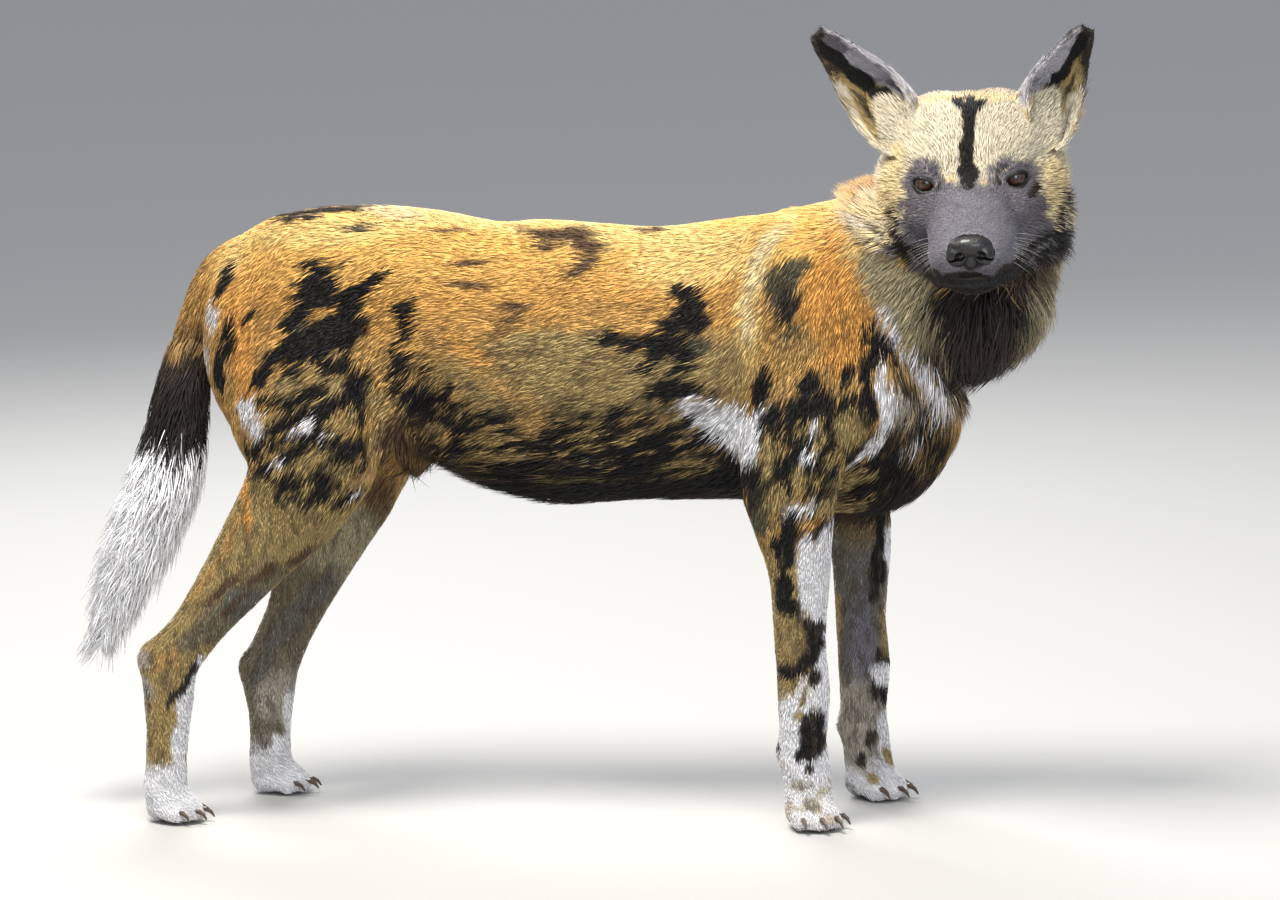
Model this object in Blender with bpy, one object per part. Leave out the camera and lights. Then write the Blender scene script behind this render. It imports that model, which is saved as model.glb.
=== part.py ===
"""African wild dog, standing with its head turned to the right: a still, life-size model in named parts."""

import math
import random

import bmesh
import bpy
from mathutils import Matrix, Vector
from mathutils.bvhtree import BVHTree

# Driving sizes, in metres. The dog faces +X, its left is +Y and the floor is z = 0.
GAP = 0.0003
BODY_SHIFT = Vector((0.0613, 0.0605, 0.0))
HALF_STANCE = 0.086
LEG_FUR = 0.0012
HIP_HALF_WIDTH = 0.066
EYE_RADIUS = 0.0132
EYE_LINE = Vector((0.404, -0.140, 0.741))
HEAD_YAW, HEAD_PITCH, HEAD_ROLL = math.radians(-85), math.radians(12), math.radians(2.5)
EYE_AT = Vector((-0.0105, 0.0490, 0.0))
EYE_TURN = math.radians(22)
EYE_HALF_LENGTH, EYE_UPPER, EYE_LOWER, LID_SIDES = 0.0128, 0.0088, 0.0078, 14
EYE_TILT = math.radians(9)
RIM_BEADS, RIM_AHEAD = 14, 0.0085
NOSE_AT = Vector((0.1085, 0.0, -0.0480))
MOUTH_HEIGHT, MOUTH_DEPTH = 0.0034, 0.0120
EAR_COLUMNS, EAR_THICKNESS = 8, 0.0065
BODY_VOXEL, HEAD_VOXEL, PAW_VOXEL, NOSE_VOXEL = 0.0050, 0.0022, 0.0022, 0.0013
RING_SIDES = 24
STEPS_BETWEEN = 5
BIG = 2.0

HEAD = (
    Matrix.Translation(EYE_LINE)
    @ Matrix.Rotation(HEAD_YAW, 4, "Z")
    @ Matrix.Rotation(HEAD_PITCH, 4, "Y")
    @ Matrix.Rotation(HEAD_ROLL, 4, "X")
)

# Where the neck meets the torso, and the head meets the neck: a point of each cut and the way it faces.
NECK_CUT = (Vector((0.300, 0.0, 0.590)), Vector((0.819, 0.0, 0.575)).normalized())
HEAD_CUT = (Vector((0.400, -0.125, 0.622)), Vector((0.12, -0.63, 0.77)).normalized())
BRUSH_CUT = (Vector((-0.538, 0.0, 0.500)), Vector((0.25, 0.0, -0.97)).normalized())
PAW_CUT = (Vector((0.0, 0.0, 0.055)), Vector((0, 0, 1)))
PAW_CUT_UNDER = (Vector((0.0, 0.0, 0.055 + GAP)), Vector((0, 0, -1)))
FLOOR = (Vector((0, 0, 0)), Vector((0, 0, 1)))
ELBOW_CUT = (Vector((0.190, 0.0, 0.335)), Vector((0, 0, -1)))
HOCK_FACING = Vector((0.25, 0.0, -0.97)).normalized()

# Blocks in the side view, as (x, z) corners in order, that hold a foreleg and a hind leg.
FORE_BLOCK = (
    (0.105, 0.400), (0.130, 0.520), (0.205, 0.560), (0.300, 0.505), (0.325, 0.400), (0.325, 0.0),
    (0.100, 0.0),
)
THIGH_BLOCK = (
    (-0.700, 0.560), (-0.480, 0.585), (-0.400, 0.600), (-0.285, 0.540), (-0.292, 0.0), (-0.700, 0.0),
)
FORE_BLOCK_INNER, BLOCK_OUTER = 0.046, 0.300
KNEE_CUT_SHARE = 0.14
HOCK_CUT_DROP = Vector((0, 0, -0.012))

# Toes of a foot that points along +X: (forward, sideways, turn), inner pair ahead of the outer pair.
TOES = (
    (0.026, -0.0225, math.radians(-16)),
    (0.040, -0.0085, math.radians(-5)),
    (0.040, 0.0085, math.radians(5)),
    (0.026, 0.0225, math.radians(16)),
)
PAW_TRIANGLES, PAW_FINE_TRIANGLES = 310, 1860
HIND_PAW_SIZE = 0.92
SOLE_HEIGHT = 0.0012
CLAW_RADII = (0.0036, 0.0034, 0.0025, 0.0010)

# How far each form is softened after fusing, and how many triangles it keeps.
BODY_SOFTENING, HEAD_SOFTENING, PAW_SOFTENING, NOSE_SOFTENING = 6, 10, 3, 6
BODY_TRIANGLES, HEAD_TRIANGLES, NOSE_TRIANGLES = 4500, 3150, 180

# Long fur: the tail's brush and the throat's ruff.
BRUSH_SEED, RUFF_SEED = 11, 23
BRUSH_TIERS, BRUSH_ROUND, BRUSH_START, BRUSH_END, BRUSH_THICKNESS = 4, 5, 0.36, 0.76, 0.0060
RUFF_AXIS = Vector((0.385, -0.035, 0.0))
RUFF_ROWS = ((0.634, 7), (0.596, 7), (0.556, 6))
RUFF_FROM, RUFF_TO = -132.0, 88.0
RUFF_LEAN = Vector((-0.14, 0.08, 0.0))
RUFF_LENGTH, RUFF_THICKNESS = (0.064, 0.082), 0.0055
BRUSH_WIDTH, RUFF_WIDTH = (0.0205, 0.0240), (0.0180, 0.0215)

# Along a lock: share of its length and how far out it stands. In the brush that is a share of the way
# from the middle to the outline, in the ruff it is metres above the neck's surface.
BRUSH_SWEEP = ((0.0, 0.22), (0.22, 0.66), (0.52, 0.90), (0.80, 0.97), (1.0, 0.93))
RUFF_ROOT_DEPTH = 0.010
RUFF_SWEEP = ((0.0, 0.0), (0.22, 0.004), (0.52, 0.012), (0.80, 0.014), (1.0, 0.008))
LOCK_WIDTHS = (0.7, 1.0, 0.9, 0.5)

# Ears in the head's frame: root, tip and the way the cup opens.
EARS = {
    "right": (Vector((-0.058, -0.076, 0.050)), Vector((-0.083, -0.163, 0.159)), Vector((0.88, -0.42, 0.25))),
    "left": (Vector((-0.058, 0.082, 0.044)), Vector((-0.078, 0.138, 0.147)), Vector((0.80, 0.58, 0.25))),
}
LID_SHARPNESS = 0.35
SURFACES = {}

# Leg joints at rest, right side first: the two sides stand a little apart fore and aft.
FORE_FOOT_X = {"right": 0.196, "left": 0.242}
HIND_FOOT_X = {"right": -0.555, "left": -0.470}
SIDE_SIGN = {"right": -1, "left": 1}
PAW_TURN = {"right": math.radians(-50), "left": math.radians(-22)}
HIND_PAW_TURN = {"right": math.radians(-14), "left": math.radians(4)}


def material(name, colour, roughness, metallic=0.0):
    made = bpy.data.materials.new(name)
    made.use_nodes = True
    shader = made.node_tree.nodes["Principled BSDF"]
    shader.inputs["Base Color"].default_value = (*colour, 1.0)
    shader.inputs["Roughness"].default_value = roughness
    shader.inputs["Metallic"].default_value = metallic
    return made


def between(p, q, r, s, t):
    """The number at share t of the way from q to r, on a smooth curve through p, q, r and s."""
    bend = (2 * p - 5 * q + 4 * r - s) * t * t
    return 0.5 * (2 * q + (r - p) * t + bend + (3 * q - p - 3 * r + s) * t**3)


def smooth_rows(rows, steps=STEPS_BETWEEN):
    """Rows of numbers with more between them, on a Catmull-Rom curve through all."""
    rows = [tuple(row) for row in rows]
    ends = [rows[0], *rows, rows[-1]]
    found = []
    for a, b, c, d in zip(ends, ends[1:], ends[2:], ends[3:]):
        for step in range(steps):
            t = step / steps
            found.append([between(*four, t) for four in zip(a, b, c, d)])
    found.append(list(rows[-1]))
    return found


def loft(bm, centres, sizes, side=(0, 1, 0), egg=0.0, sides=RING_SIDES):
    """A closed tube through centres. sizes holds (half width along side, half depth across it) of each ring.
    egg widens the ring towards its upper side, or the lower side where it is under 0."""
    centres = [Vector(c) for c in centres]
    loops = []
    for i, (centre, (half_width, half_depth)) in enumerate(zip(centres, sizes)):
        along = (centres[min(i + 1, len(centres) - 1)] - centres[max(i - 1, 0)]).normalized()
        across = Vector(side)
        across = (across - along * across.dot(along)).normalized()
        upward = along.cross(across)
        loop = []
        for k in range(sides):
            turn = 2 * math.pi * k / sides
            wide = half_width * (1 + egg * math.sin(turn)) * math.cos(turn)
            loop.append(bm.verts.new(centre + across * wide + upward * half_depth * math.sin(turn)))
        loops.append(loop)
    faces = []
    for a, b in zip(loops, loops[1:]):
        faces += [bm.faces.new((a[k - 1], a[k], b[k], b[k - 1])) for k in range(sides)]
    faces += [bm.faces.new(loops[0]), bm.faces.new(loops[-1])]
    bmesh.ops.recalc_face_normals(bm, faces=faces)


def ellipsoid(bm, centre, radii, turn=None, segments=20, rings=12):
    """An egg of three radii, turned by a matrix about its own centre."""
    place = Matrix.Translation(centre) @ (turn or Matrix.Identity(4)) @ Matrix.Diagonal((*radii, 1.0))
    bmesh.ops.create_uvsphere(bm, u_segments=segments, v_segments=rings, radius=1.0, matrix=place)


def lean(degrees, axis="Y"):
    return Matrix.Rotation(math.radians(degrees), 4, axis)


def mesh_object(name, bm, place=None):
    if place is not None:
        bmesh.ops.transform(bm, matrix=place, verts=bm.verts)
    mesh = bpy.data.meshes.new(name)
    bm.to_mesh(mesh)
    bm.free()
    made = bpy.data.objects.new(name, mesh)
    bpy.context.scene.collection.objects.link(made)
    return made


def bake_modifiers(obj):
    """Puts the mesh that obj's modifiers give in place of its own."""
    graph = bpy.context.evaluated_depsgraph_get()
    mesh = bpy.data.meshes.new_from_object(obj.evaluated_get(graph), depsgraph=graph)
    obj.modifiers.clear()
    obj.data = mesh
    return obj


def fuse(name, bm, voxel, smoothing, triangles):
    """One closed skin over the closed shapes in bm, smoothed and thinned to a number of triangles."""
    made = mesh_object(name, bm)
    remesh = made.modifiers.new("skin", "REMESH")
    remesh.mode = "VOXEL"
    remesh.voxel_size = voxel
    smooth = made.modifiers.new("soften", "SMOOTH")
    smooth.factor = 0.5
    smooth.iterations = smoothing
    bake_modifiers(made)
    keep_largest(made)
    fewer = made.modifiers.new("fewer", "DECIMATE")
    fewer.ratio = min(1.0, triangles / (2 * len(made.data.polygons)))
    return bake_modifiers(made)


def keep_largest(obj):
    """Keeps obj's largest closed surface, and drops loose scraps and sealed hollows."""
    bm = bmesh.new()
    bm.from_mesh(obj.data)
    left = set(bm.faces)
    islands = []
    while left:
        island = [left.pop()]
        for face in island:
            for edge in face.edges:
                for other in edge.link_faces if len(edge.link_faces) == 2 else ():
                    if other in left:
                        left.discard(other)
                        island.append(other)
        islands.append(island)
    islands.sort(key=len)
    for island in islands[:-1]:
        bmesh.ops.delete(bm, geom=island, context="FACES")
    bm.to_mesh(obj.data)
    bm.free()
    return obj


def combine(obj, other, operation, solver="EXACT"):
    """Cuts, joins or crops obj with another object, which is then removed."""
    boolean = obj.modifiers.new(operation.lower(), "BOOLEAN")
    boolean.operation = operation
    boolean.solver = solver
    boolean.object = other
    bake_modifiers(obj)
    bpy.data.objects.remove(other)
    return obj


def beyond(cut, back=0.0):
    """A large block on the side of a cut that it faces, moved back from it."""
    point, facing = cut
    bm = bmesh.new()
    bmesh.ops.create_cube(bm, size=BIG)
    turn = Vector((0, 0, 1)).rotation_difference(facing).to_matrix().to_4x4()
    place = Matrix.Translation(point + facing * (BIG / 2 - back)) @ turn
    return mesh_object("cutter", bm, place)


def slab(outline, y_low, y_high, grow=0.0):
    """A block with a convex outline in the side view, (x, z) points in order, from y_low to y_high."""
    points = [Vector(p) for p in outline]
    area = sum(a.x * b.y - b.x * a.y for a, b in zip(points, points[1:] + points[:1]))
    if area < 0:
        points.reverse()
    moved = []
    for before, here, after in zip(points[-1:] + points[:-1], points, points[1:] + points[:1]):
        first, second = (here - before).normalized(), (after - here).normalized()
        out_a, out_b = Vector((first.y, -first.x)), Vector((second.y, -second.x))
        moved.append(here + (out_a + out_b) * grow / (1 + out_a.dot(out_b)))
    bm = bmesh.new()
    near = [bm.verts.new((p.x, y_low - grow, p.y)) for p in moved]
    far = [bm.verts.new((p.x, y_high + grow, p.y)) for p in moved]
    bm.faces.new(near)
    bm.faces.new(reversed(far))
    for k in range(len(moved)):
        bm.faces.new((near[k], near[k - 1], far[k - 1], far[k]))
    bmesh.ops.recalc_face_normals(bm, faces=bm.faces)
    return mesh_object("cutter", bm)


def copy_of(obj, name):
    made = bpy.data.objects.new(name, obj.data.copy())
    bpy.context.scene.collection.objects.link(made)
    return made


def finish(obj, name, surface):
    """Names a finished node, gives it its material and moves it to the part's origin."""
    keep_largest(obj)
    obj.name = name
    obj.data.name = name
    obj.data.materials.clear()
    obj.data.materials.append(surface)
    obj.data.transform(Matrix.Translation(BODY_SHIFT))
    obj.data.shade_smooth()
    obj.data.set_sharp_from_angle(angle=math.radians(50))
    return obj


def trunk(bm):
    """The barrel: a deep narrow chest, a tucked-up waist and a sloping rump."""
    stations = [  # x, top, bottom, half width
        (-0.497, 0.628, 0.560, 0.030),
        (-0.474, 0.668, 0.530, 0.056),
        (-0.430, 0.694, 0.500, 0.072),
        (-0.340, 0.709, 0.490, 0.080),
        (-0.255, 0.706, 0.470, 0.078),
        (-0.190, 0.701, 0.412, 0.085),
        (-0.120, 0.693, 0.378, 0.093),
        (-0.040, 0.685, 0.369, 0.099),
        (0.040, 0.681, 0.369, 0.101),
        (0.130, 0.692, 0.368, 0.096),
        (0.210, 0.700, 0.358, 0.088),
        (0.285, 0.694, 0.350, 0.078),
        (0.334, 0.650, 0.396, 0.062),
        (0.360, 0.590, 0.466, 0.042),
    ]
    rows = smooth_rows(stations)
    centres = [(x, 0, (top + bottom) / 2) for x, top, bottom, _ in rows]
    sizes = [(wide, (top - bottom) / 2) for _, top, bottom, wide in rows]
    loft(bm, centres, sizes, egg=0.10)
    ellipsoid(bm, (0.296, 0, 0.462), (0.056, 0.060, 0.088), lean(-20))
    ellipsoid(bm, (-0.262, 0, 0.434), (0.036, 0.019, 0.036), lean(20))


def neck_column(bm):
    """The neck: deep at the chest, bending to the right into the skull, with full fur on the throat."""
    stations = [  # x, y, z, half width, half depth
        (0.200, 0.000, 0.575, 0.086, 0.126),
        (0.275, -0.002, 0.597, 0.086, 0.124),
        (0.345, -0.012, 0.632, 0.086, 0.115),
        (0.395, -0.038, 0.672, 0.086, 0.104),
        (0.410, -0.075, 0.704, 0.082, 0.092),
        (0.406, -0.110, 0.722, 0.070, 0.076),
    ]
    rows = smooth_rows(stations)
    sizes = [(row[3], row[4]) for row in rows]
    loft(bm, [row[:3] for row in rows], sizes, side=(-0.35, 1, 0))
    ellipsoid(bm, (0.408, -0.052, 0.606), (0.074, 0.066, 0.066))
    ellipsoid(bm, (0.392, -0.042, 0.564), (0.052, 0.050, 0.048))


def shoulder_muscles(bm, side):
    """Shoulder blade, upper arm and the point of the shoulder over the chest's side."""
    y = SIDE_SIGN[side]
    ellipsoid(bm, (0.205, y * 0.050, 0.585), (0.074, 0.046, 0.120), lean(-22))
    ellipsoid(bm, (0.275, y * 0.052, 0.492), (0.056, 0.040, 0.066), lean(20))
    ellipsoid(bm, (0.200, y * 0.064, 0.466), (0.070, 0.040, 0.086), lean(26))


def haunch_muscles(bm, side):
    """Hip, thigh and buttock, and the fold of skin that runs from the flank to the knee."""
    y = SIDE_SIGN[side]
    ellipsoid(bm, (-0.350, y * 0.044, 0.630), (0.105, 0.042, 0.074), lean(10))
    ellipsoid(bm, (-0.385, y * HIP_HALF_WIDTH, 0.520), (0.086, 0.042, 0.130), lean(12))
    ellipsoid(bm, (-0.448, y * 0.050, 0.545), (0.052, 0.042, 0.105), lean(-6))
    ellipsoid(bm, (-0.296, y * 0.064, 0.500), (0.050, 0.020, 0.110), lean(16))


def foreleg(bm, side):
    """Upper arm to pastern: the elbow lies against the chest, and the leg below it stands straight."""
    y = SIDE_SIGN[side]
    foot = FORE_FOOT_X[side]
    shift = foot - FORE_FOOT_X["right"]
    stations = [  # x, y, z, half width, half depth
        (0.205 + 0.35 * shift, y * 0.070, 0.480, 0.034, 0.066),
        (0.188 + 0.60 * shift, y * 0.080, 0.415, 0.035, 0.060),
        (0.188 + 0.90 * shift, y * 0.084, 0.360, 0.032, 0.049),
        (foot - 0.001, y * HALF_STANCE, 0.300, 0.027, 0.0365),
        (foot - 0.002, y * HALF_STANCE, 0.215, 0.0235, 0.0290),
        (foot + 0.001, y * HALF_STANCE, 0.158, 0.0265, 0.0305),
        (foot - 0.001, y * HALF_STANCE, 0.105, 0.0235, 0.0265),
        (foot + 0.002, y * HALF_STANCE, 0.062, 0.0250, 0.0275),
        (foot + 0.005, y * HALF_STANCE, 0.030, 0.0250, 0.0270),
    ]
    rows = smooth_rows(stations)
    loft(bm, [row[:3] for row in rows], [(row[3] + LEG_FUR, row[4] + LEG_FUR) for row in rows])
    ellipsoid(bm, (0.148 + 0.7 * shift, y * 0.080, 0.388), (0.021, 0.018, 0.028), lean(20))
    ellipsoid(bm, (foot - 0.028, y * HALF_STANCE, 0.086), (0.010, 0.010, 0.013))


def hind_joints(side):
    """Hip, knee, hock and foot of a hind leg."""
    y = SIDE_SIGN[side]
    foot = HIND_FOOT_X[side]
    lag = foot - HIND_FOOT_X["right"]
    hip = Vector((-0.392, y * HIP_HALF_WIDTH, 0.545))
    knee = Vector((-0.362 + 0.10 * lag, y * 0.088, 0.412 - 0.12 * lag))
    hock = Vector((foot + 0.012 - 0.10 * lag, y * HALF_STANCE, 0.186 - 0.48 * lag))
    return hip, knee, hock, Vector((foot, y * HALF_STANCE, 0.030))


def hind_leg(bm, side):
    """Thigh to foot: a wide flat thigh, a slanting shank and an upright foot."""
    hip, knee, hock, foot = hind_joints(side)
    stations = [  # the place, half width, half depth
        (hip, 0.044, 0.078),
        (hip.lerp(knee, 0.55), 0.042, 0.080),
        (hip.lerp(knee, 0.92), 0.037, 0.070),
        (knee.lerp(hock, 0.16), 0.034, 0.062),
        (knee.lerp(hock, 0.36), 0.031, 0.050),
        (knee.lerp(hock, 0.62), 0.025, 0.037),
        (knee.lerp(hock, 0.84), 0.0215, 0.0295),
        (hock, 0.0245, 0.0325),
        (hock.lerp(foot, 0.22), 0.0225, 0.0300),
        (hock.lerp(foot, 0.50), 0.0205, 0.0250),
        (hock.lerp(foot, 0.80), 0.0220, 0.0240),
        (foot, 0.0240, 0.0250),
    ]
    rows = smooth_rows([(*place, wide, deep) for place, wide, deep in stations])
    loft(bm, [row[:3] for row in rows], [(row[3] + LEG_FUR, row[4] + LEG_FUR) for row in rows])
    heel = hock + Vector((-0.028, 0, 0.010))
    ellipsoid(bm, heel, (0.013, 0.013, 0.021), lean(25))
    tendon = [heel + Vector((0.002, 0, 0.004)), knee.lerp(hock, 0.45) + Vector((-0.032, 0, -0.024))]
    loft(bm, tendon, [(0.007, 0.008), (0.012, 0.012)], sides=12)
    ellipsoid(bm, knee + Vector((0.050, 0, -0.012)), (0.018, 0.022, 0.028), lean(25))


def paw(name, side, foot, turn, size, leg):
    """A foot from the pastern down: four toes round a broad pad, all flat on the floor."""
    bm = bmesh.new()
    leg(bm, side)
    here = Matrix.Translation((foot.x, foot.y, 0)) @ Matrix.Rotation(turn, 4, "Z") @ Matrix.Scale(size, 4)
    shapes = [((0.000, 0, 0.020), (0.027, 0.025, 0.023)), ((0.020, 0, 0.023), (0.026, 0.023, 0.018))]
    for toe in TOES:
        x, y, yaw = toe
        knuckle = Vector((x - 0.016 * math.cos(yaw), y - 0.012 * math.sin(yaw), 0.019))
        shapes.append((knuckle, (0.017, 0.0105, 0.0150)))
        shapes.append(((x, y, 0.0118), (0.0150, 0.0105, 0.0132)))
    along = Matrix.Rotation(turn, 4, "Z")
    for centre, radii in shapes:
        ellipsoid(bm, here @ Vector(centre), [radius * size for radius in radii], along)
    made = fuse(name, bm, PAW_VOXEL, PAW_SOFTENING, PAW_FINE_TRIANGLES)
    combine(made, beyond(PAW_CUT), "DIFFERENCE")
    combine(made, beyond(FLOOR), "INTERSECT")
    fewer = made.modifiers.new("fewer", "DECIMATE")
    fewer.ratio = min(1.0, PAW_TRIANGLES / (2 * len(made.data.polygons)))
    bake_modifiers(made)
    flatten_soles(made)
    claws = []
    for number, (x, y, yaw) in enumerate(TOES):
        ahead = Vector((math.cos(yaw), math.sin(yaw), 0))
        line = [Vector((x, y, 0.0160)) + ahead * 0.004, Vector((x, y, 0.0165)) + ahead * 0.0125]
        line += [Vector((x, y, 0.0130)) + ahead * 0.0195, Vector((x, y, 0.0070)) + ahead * 0.0240]
        claws.append([here @ point for point in line])
        combine(made, claw(claws[-1], size, GAP), "DIFFERENCE")
        claws[-1] = claw(claws[-1], size, 0.0)
        finish(claws[-1], f"claw_{name[4:]}_{number + 1}", SURFACES["horn"])
    return made


def flatten_soles(obj):
    """Puts the soles that thinning has moved back on the floor."""
    for vert in obj.data.vertices:
        if vert.co.z < SOLE_HEIGHT:
            vert.co.z = 0.0


def claw(line, size, grow):
    """A short curved claw that narrows to a blunt tip."""
    bm = bmesh.new()
    ahead = (line[0] - line[1]).normalized()
    centres = [line[0] + ahead * grow, *line[1:-1], line[-1] - ahead * grow]
    sizes = [(radius * 0.8 * size + grow, radius * size + grow) for radius in CLAW_RADII]
    across = ahead.cross(Vector((0, 0, 1))).normalized()
    loft(bm, centres, sizes, side=across, sides=5)
    return mesh_object("claw", bm)


def tail_rows():
    """The tail from the rump down, with the fur's outline and the core inside it."""
    stations = [  # x, y, z, half depth and half width at the tips, half depth and half width of the core
        (-0.452, 0.000, 0.650, 0.024, 0.024, 0.024, 0.024),
        (-0.480, 0.000, 0.640, 0.026, 0.026, 0.026, 0.026),
        (-0.504, 0.000, 0.605, 0.025, 0.026, 0.025, 0.026),
        (-0.523, 0.000, 0.550, 0.027, 0.027, 0.026, 0.026),
        (-0.539, -0.002, 0.495, 0.033, 0.031, 0.025, 0.024),
        (-0.547, -0.004, 0.440, 0.041, 0.036, 0.022, 0.020),
        (-0.561, -0.006, 0.390, 0.050, 0.041, 0.022, 0.019),
        (-0.583, -0.008, 0.338, 0.051, 0.042, 0.021, 0.018),
        (-0.609, -0.009, 0.282, 0.045, 0.037, 0.017, 0.014),
        (-0.628, -0.010, 0.235, 0.034, 0.028, 0.010, 0.009),
        (-0.641, -0.010, 0.195, 0.020, 0.018, 0.0, 0.0),
        (-0.647, -0.010, 0.168, 0.010, 0.010, 0.0, 0.0),
    ]
    return smooth_rows(stations, 2)


def tail_skin():
    """The tail without the long fur of its brush."""
    bm = bmesh.new()
    rows = [row for row in tail_rows() if row[5] > 0.008]
    loft(bm, [row[:3] for row in rows], [(row[6], row[5]) for row in rows], sides=10)
    return mesh_object("tail", bm)


def lock(centres, widths, thickness, normals):
    """A flat lock of fur along centres, with a low ridge along its outer face, that tapers to a point."""
    bm = bmesh.new()
    loops = []
    for k, (centre, wide, normal) in enumerate(zip(centres[:-1], widths, normals)):
        along = (centres[k + 1] - centre).normalized()
        across = along.cross(normal).normalized()
        up = across.cross(along)
        thin = thickness * (1 - 0.45 * k / len(widths))
        corners = (across * wide, up * thin, across * -wide)
        loops.append([bm.verts.new(centre + corner) for corner in corners])
    tip = bm.verts.new(centres[-1])
    for a, b in zip(loops, loops[1:]):
        for k in range(3):
            bm.faces.new((a[k - 1], a[k], b[k], b[k - 1]))
    for k in range(3):
        bm.faces.new((loops[-1][k - 1], loops[-1][k], tip))
    bm.faces.new(loops[0])
    bmesh.ops.recalc_face_normals(bm, faces=bm.faces)
    bmesh.ops.triangulate(bm, faces=bm.faces)
    return mesh_object("lock", bm)


def fuse_locks(obj, locks):
    """Joins the locks to the node they grow from, as one closed body."""
    group = bpy.data.collections.new("locks")
    for piece in locks:
        group.objects.link(piece)
    union = obj.modifiers.new("locks", "BOOLEAN")
    union.operation = "UNION"
    union.solver = "MANIFOLD"
    union.operand_type = "COLLECTION"
    union.collection = group
    bake_modifiers(obj)
    for piece in locks:
        bpy.data.objects.remove(piece)
    bpy.data.collections.remove(group)
    return keep_largest(obj)


def brush_locks():
    """Locks of the tail's brush, rooted in the core and spreading to the fur's outline."""
    draw = random.Random(BRUSH_SEED)
    rows = tail_rows()
    line = [Vector(row[:3]) for row in rows]
    aside = Vector((0, 1, 0))

    def spot(share, turn, out):
        place = min(max(share, 0.0), 0.9999) * (len(rows) - 1)
        k = int(place)
        row = [a + (b - a) * (place - k) for a, b in zip(rows[k], rows[k + 1])]
        along = (line[min(k + 1, len(line) - 1)] - line[max(k - 1, 0)]).normalized()
        back = aside.cross(along).normalized()
        ray = back * (row[3] * math.cos(turn)) + aside * (row[4] * math.sin(turn))
        facing = (back * math.cos(turn) + aside * math.sin(turn)).normalized()
        return Vector(row[:3]) + ray * out, facing

    locks = []
    for tier in range(BRUSH_TIERS):
        low = BRUSH_START + (BRUSH_END - BRUSH_START) * tier / (BRUSH_TIERS - 1)
        for k in range(BRUSH_ROUND):
            start = low + draw.uniform(-0.012, 0.012)
            turn = 2 * math.pi * (k + 0.5 * (tier % 2) + draw.uniform(-0.15, 0.15)) / BRUSH_ROUND
            end = min(start + draw.uniform(0.24, 0.32), draw.uniform(0.90, 1.0))
            twist = draw.uniform(-0.25, 0.25)
            fullness = draw.uniform(0.92, 1.01)
            centres, normals = [], []
            for share, out in BRUSH_SWEEP:
                here, normal = spot(start + (end - start) * share, turn + twist * share, out * fullness)
                centres.append(here)
                normals.append(normal)
            wide = draw.uniform(*BRUSH_WIDTH)
            widths = [wide * share for share in LOCK_WIDTHS]
            locks.append(lock(centres, widths, BRUSH_THICKNESS, normals))
    return locks


def ruff_locks(neck):
    """Locks of the throat's long fur, rooted in the neck and lying down and back along it."""
    draw = random.Random(RUFF_SEED)
    bm = bmesh.new()
    bm.from_mesh(neck.data)
    tree = BVHTree.FromBMesh(bm)
    locks = []
    for height, count in RUFF_ROWS:
        for k in range(count):
            turn = math.radians(RUFF_FROM + (RUFF_TO - RUFF_FROM) * (k + draw.uniform(0.2, 0.8)) / count)
            out = Vector((math.cos(turn), math.sin(turn), 0.0))
            axis = RUFF_AXIS + Vector((0, 0, height + draw.uniform(-0.008, 0.008)))
            hit, normal, _, _ = tree.ray_cast(axis + out * 0.3, -out)
            if hit is None:
                continue
            fall = Vector((0, 0, -1)) + RUFF_LEAN
            lie = (fall - normal * normal.dot(fall)).normalized()
            lie = (lie + Vector((draw.uniform(-1, 1), draw.uniform(-1, 1), 0)) * 0.10).normalized()
            long = draw.uniform(*RUFF_LENGTH)
            centres, normals = [], []
            here = hit - normal * RUFF_ROOT_DEPTH - lie * 0.006
            for step, lift in RUFF_SWEEP:
                spot = here + lie * (long * step)
                near, face, _, _ = tree.find_nearest(spot)
                lifted = near + face * lift if step else spot
                centres.append(lifted)
                normals.append(face)
            wide = draw.uniform(*RUFF_WIDTH)
            widths = [wide * share for share in LOCK_WIDTHS]
            locks.append(lock(centres, widths, RUFF_THICKNESS, normals))
    bm.free()
    return locks


def skull(bm):
    """The head in its own frame, eyes at the origin: +X to the nose, +Y to the dog's left."""
    ellipsoid(bm, (-0.068, 0, 0.006), (0.074, 0.084, 0.076))
    ellipsoid(bm, (-0.068, 0, -0.052), (0.072, 0.086, 0.056))
    for y in (-1, 1):
        ellipsoid(bm, (-0.066, y * 0.030, 0.026), (0.066, 0.062, 0.058), lean(y * -12, "Z"))
        ellipsoid(bm, (-0.050, y * 0.058, -0.018), (0.052, 0.042, 0.056), lean(y * -24, "Z"))
        ellipsoid(bm, (-0.050, y * 0.058, -0.058), (0.054, 0.042, 0.046), lean(y * -18, "Z"))
        ellipsoid(bm, (-0.022, y * 0.042, 0.020), (0.024, 0.028, 0.014), lean(y * -24, "Z"))
        ellipsoid(bm, (-0.004, y * 0.048, -0.032), (0.036, 0.028, 0.026), lean(y * -30, "Z"))
        eyelid_rim(bm, y)
        ellipsoid(bm, (0.064, y * 0.026, -0.062), (0.044, 0.023, 0.025), lean(y * -10, "Z"))


def eyelid_rim(bm, y):
    """A soft rim round the eye, for the lids to be cut from."""
    place = eye_place(y) @ Matrix.Rotation(y * EYE_TILT, 4, "X")
    for k in range(RIM_BEADS):
        turn = 2 * math.pi * k / RIM_BEADS
        bead = Vector((RIM_AHEAD, 1.15 * EYE_RADIUS * math.cos(turn), 0.80 * EYE_RADIUS * math.sin(turn)))
        ellipsoid(bm, place @ bead, (0.0042, 0.0046, 0.0042), segments=8, rings=6)


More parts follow.
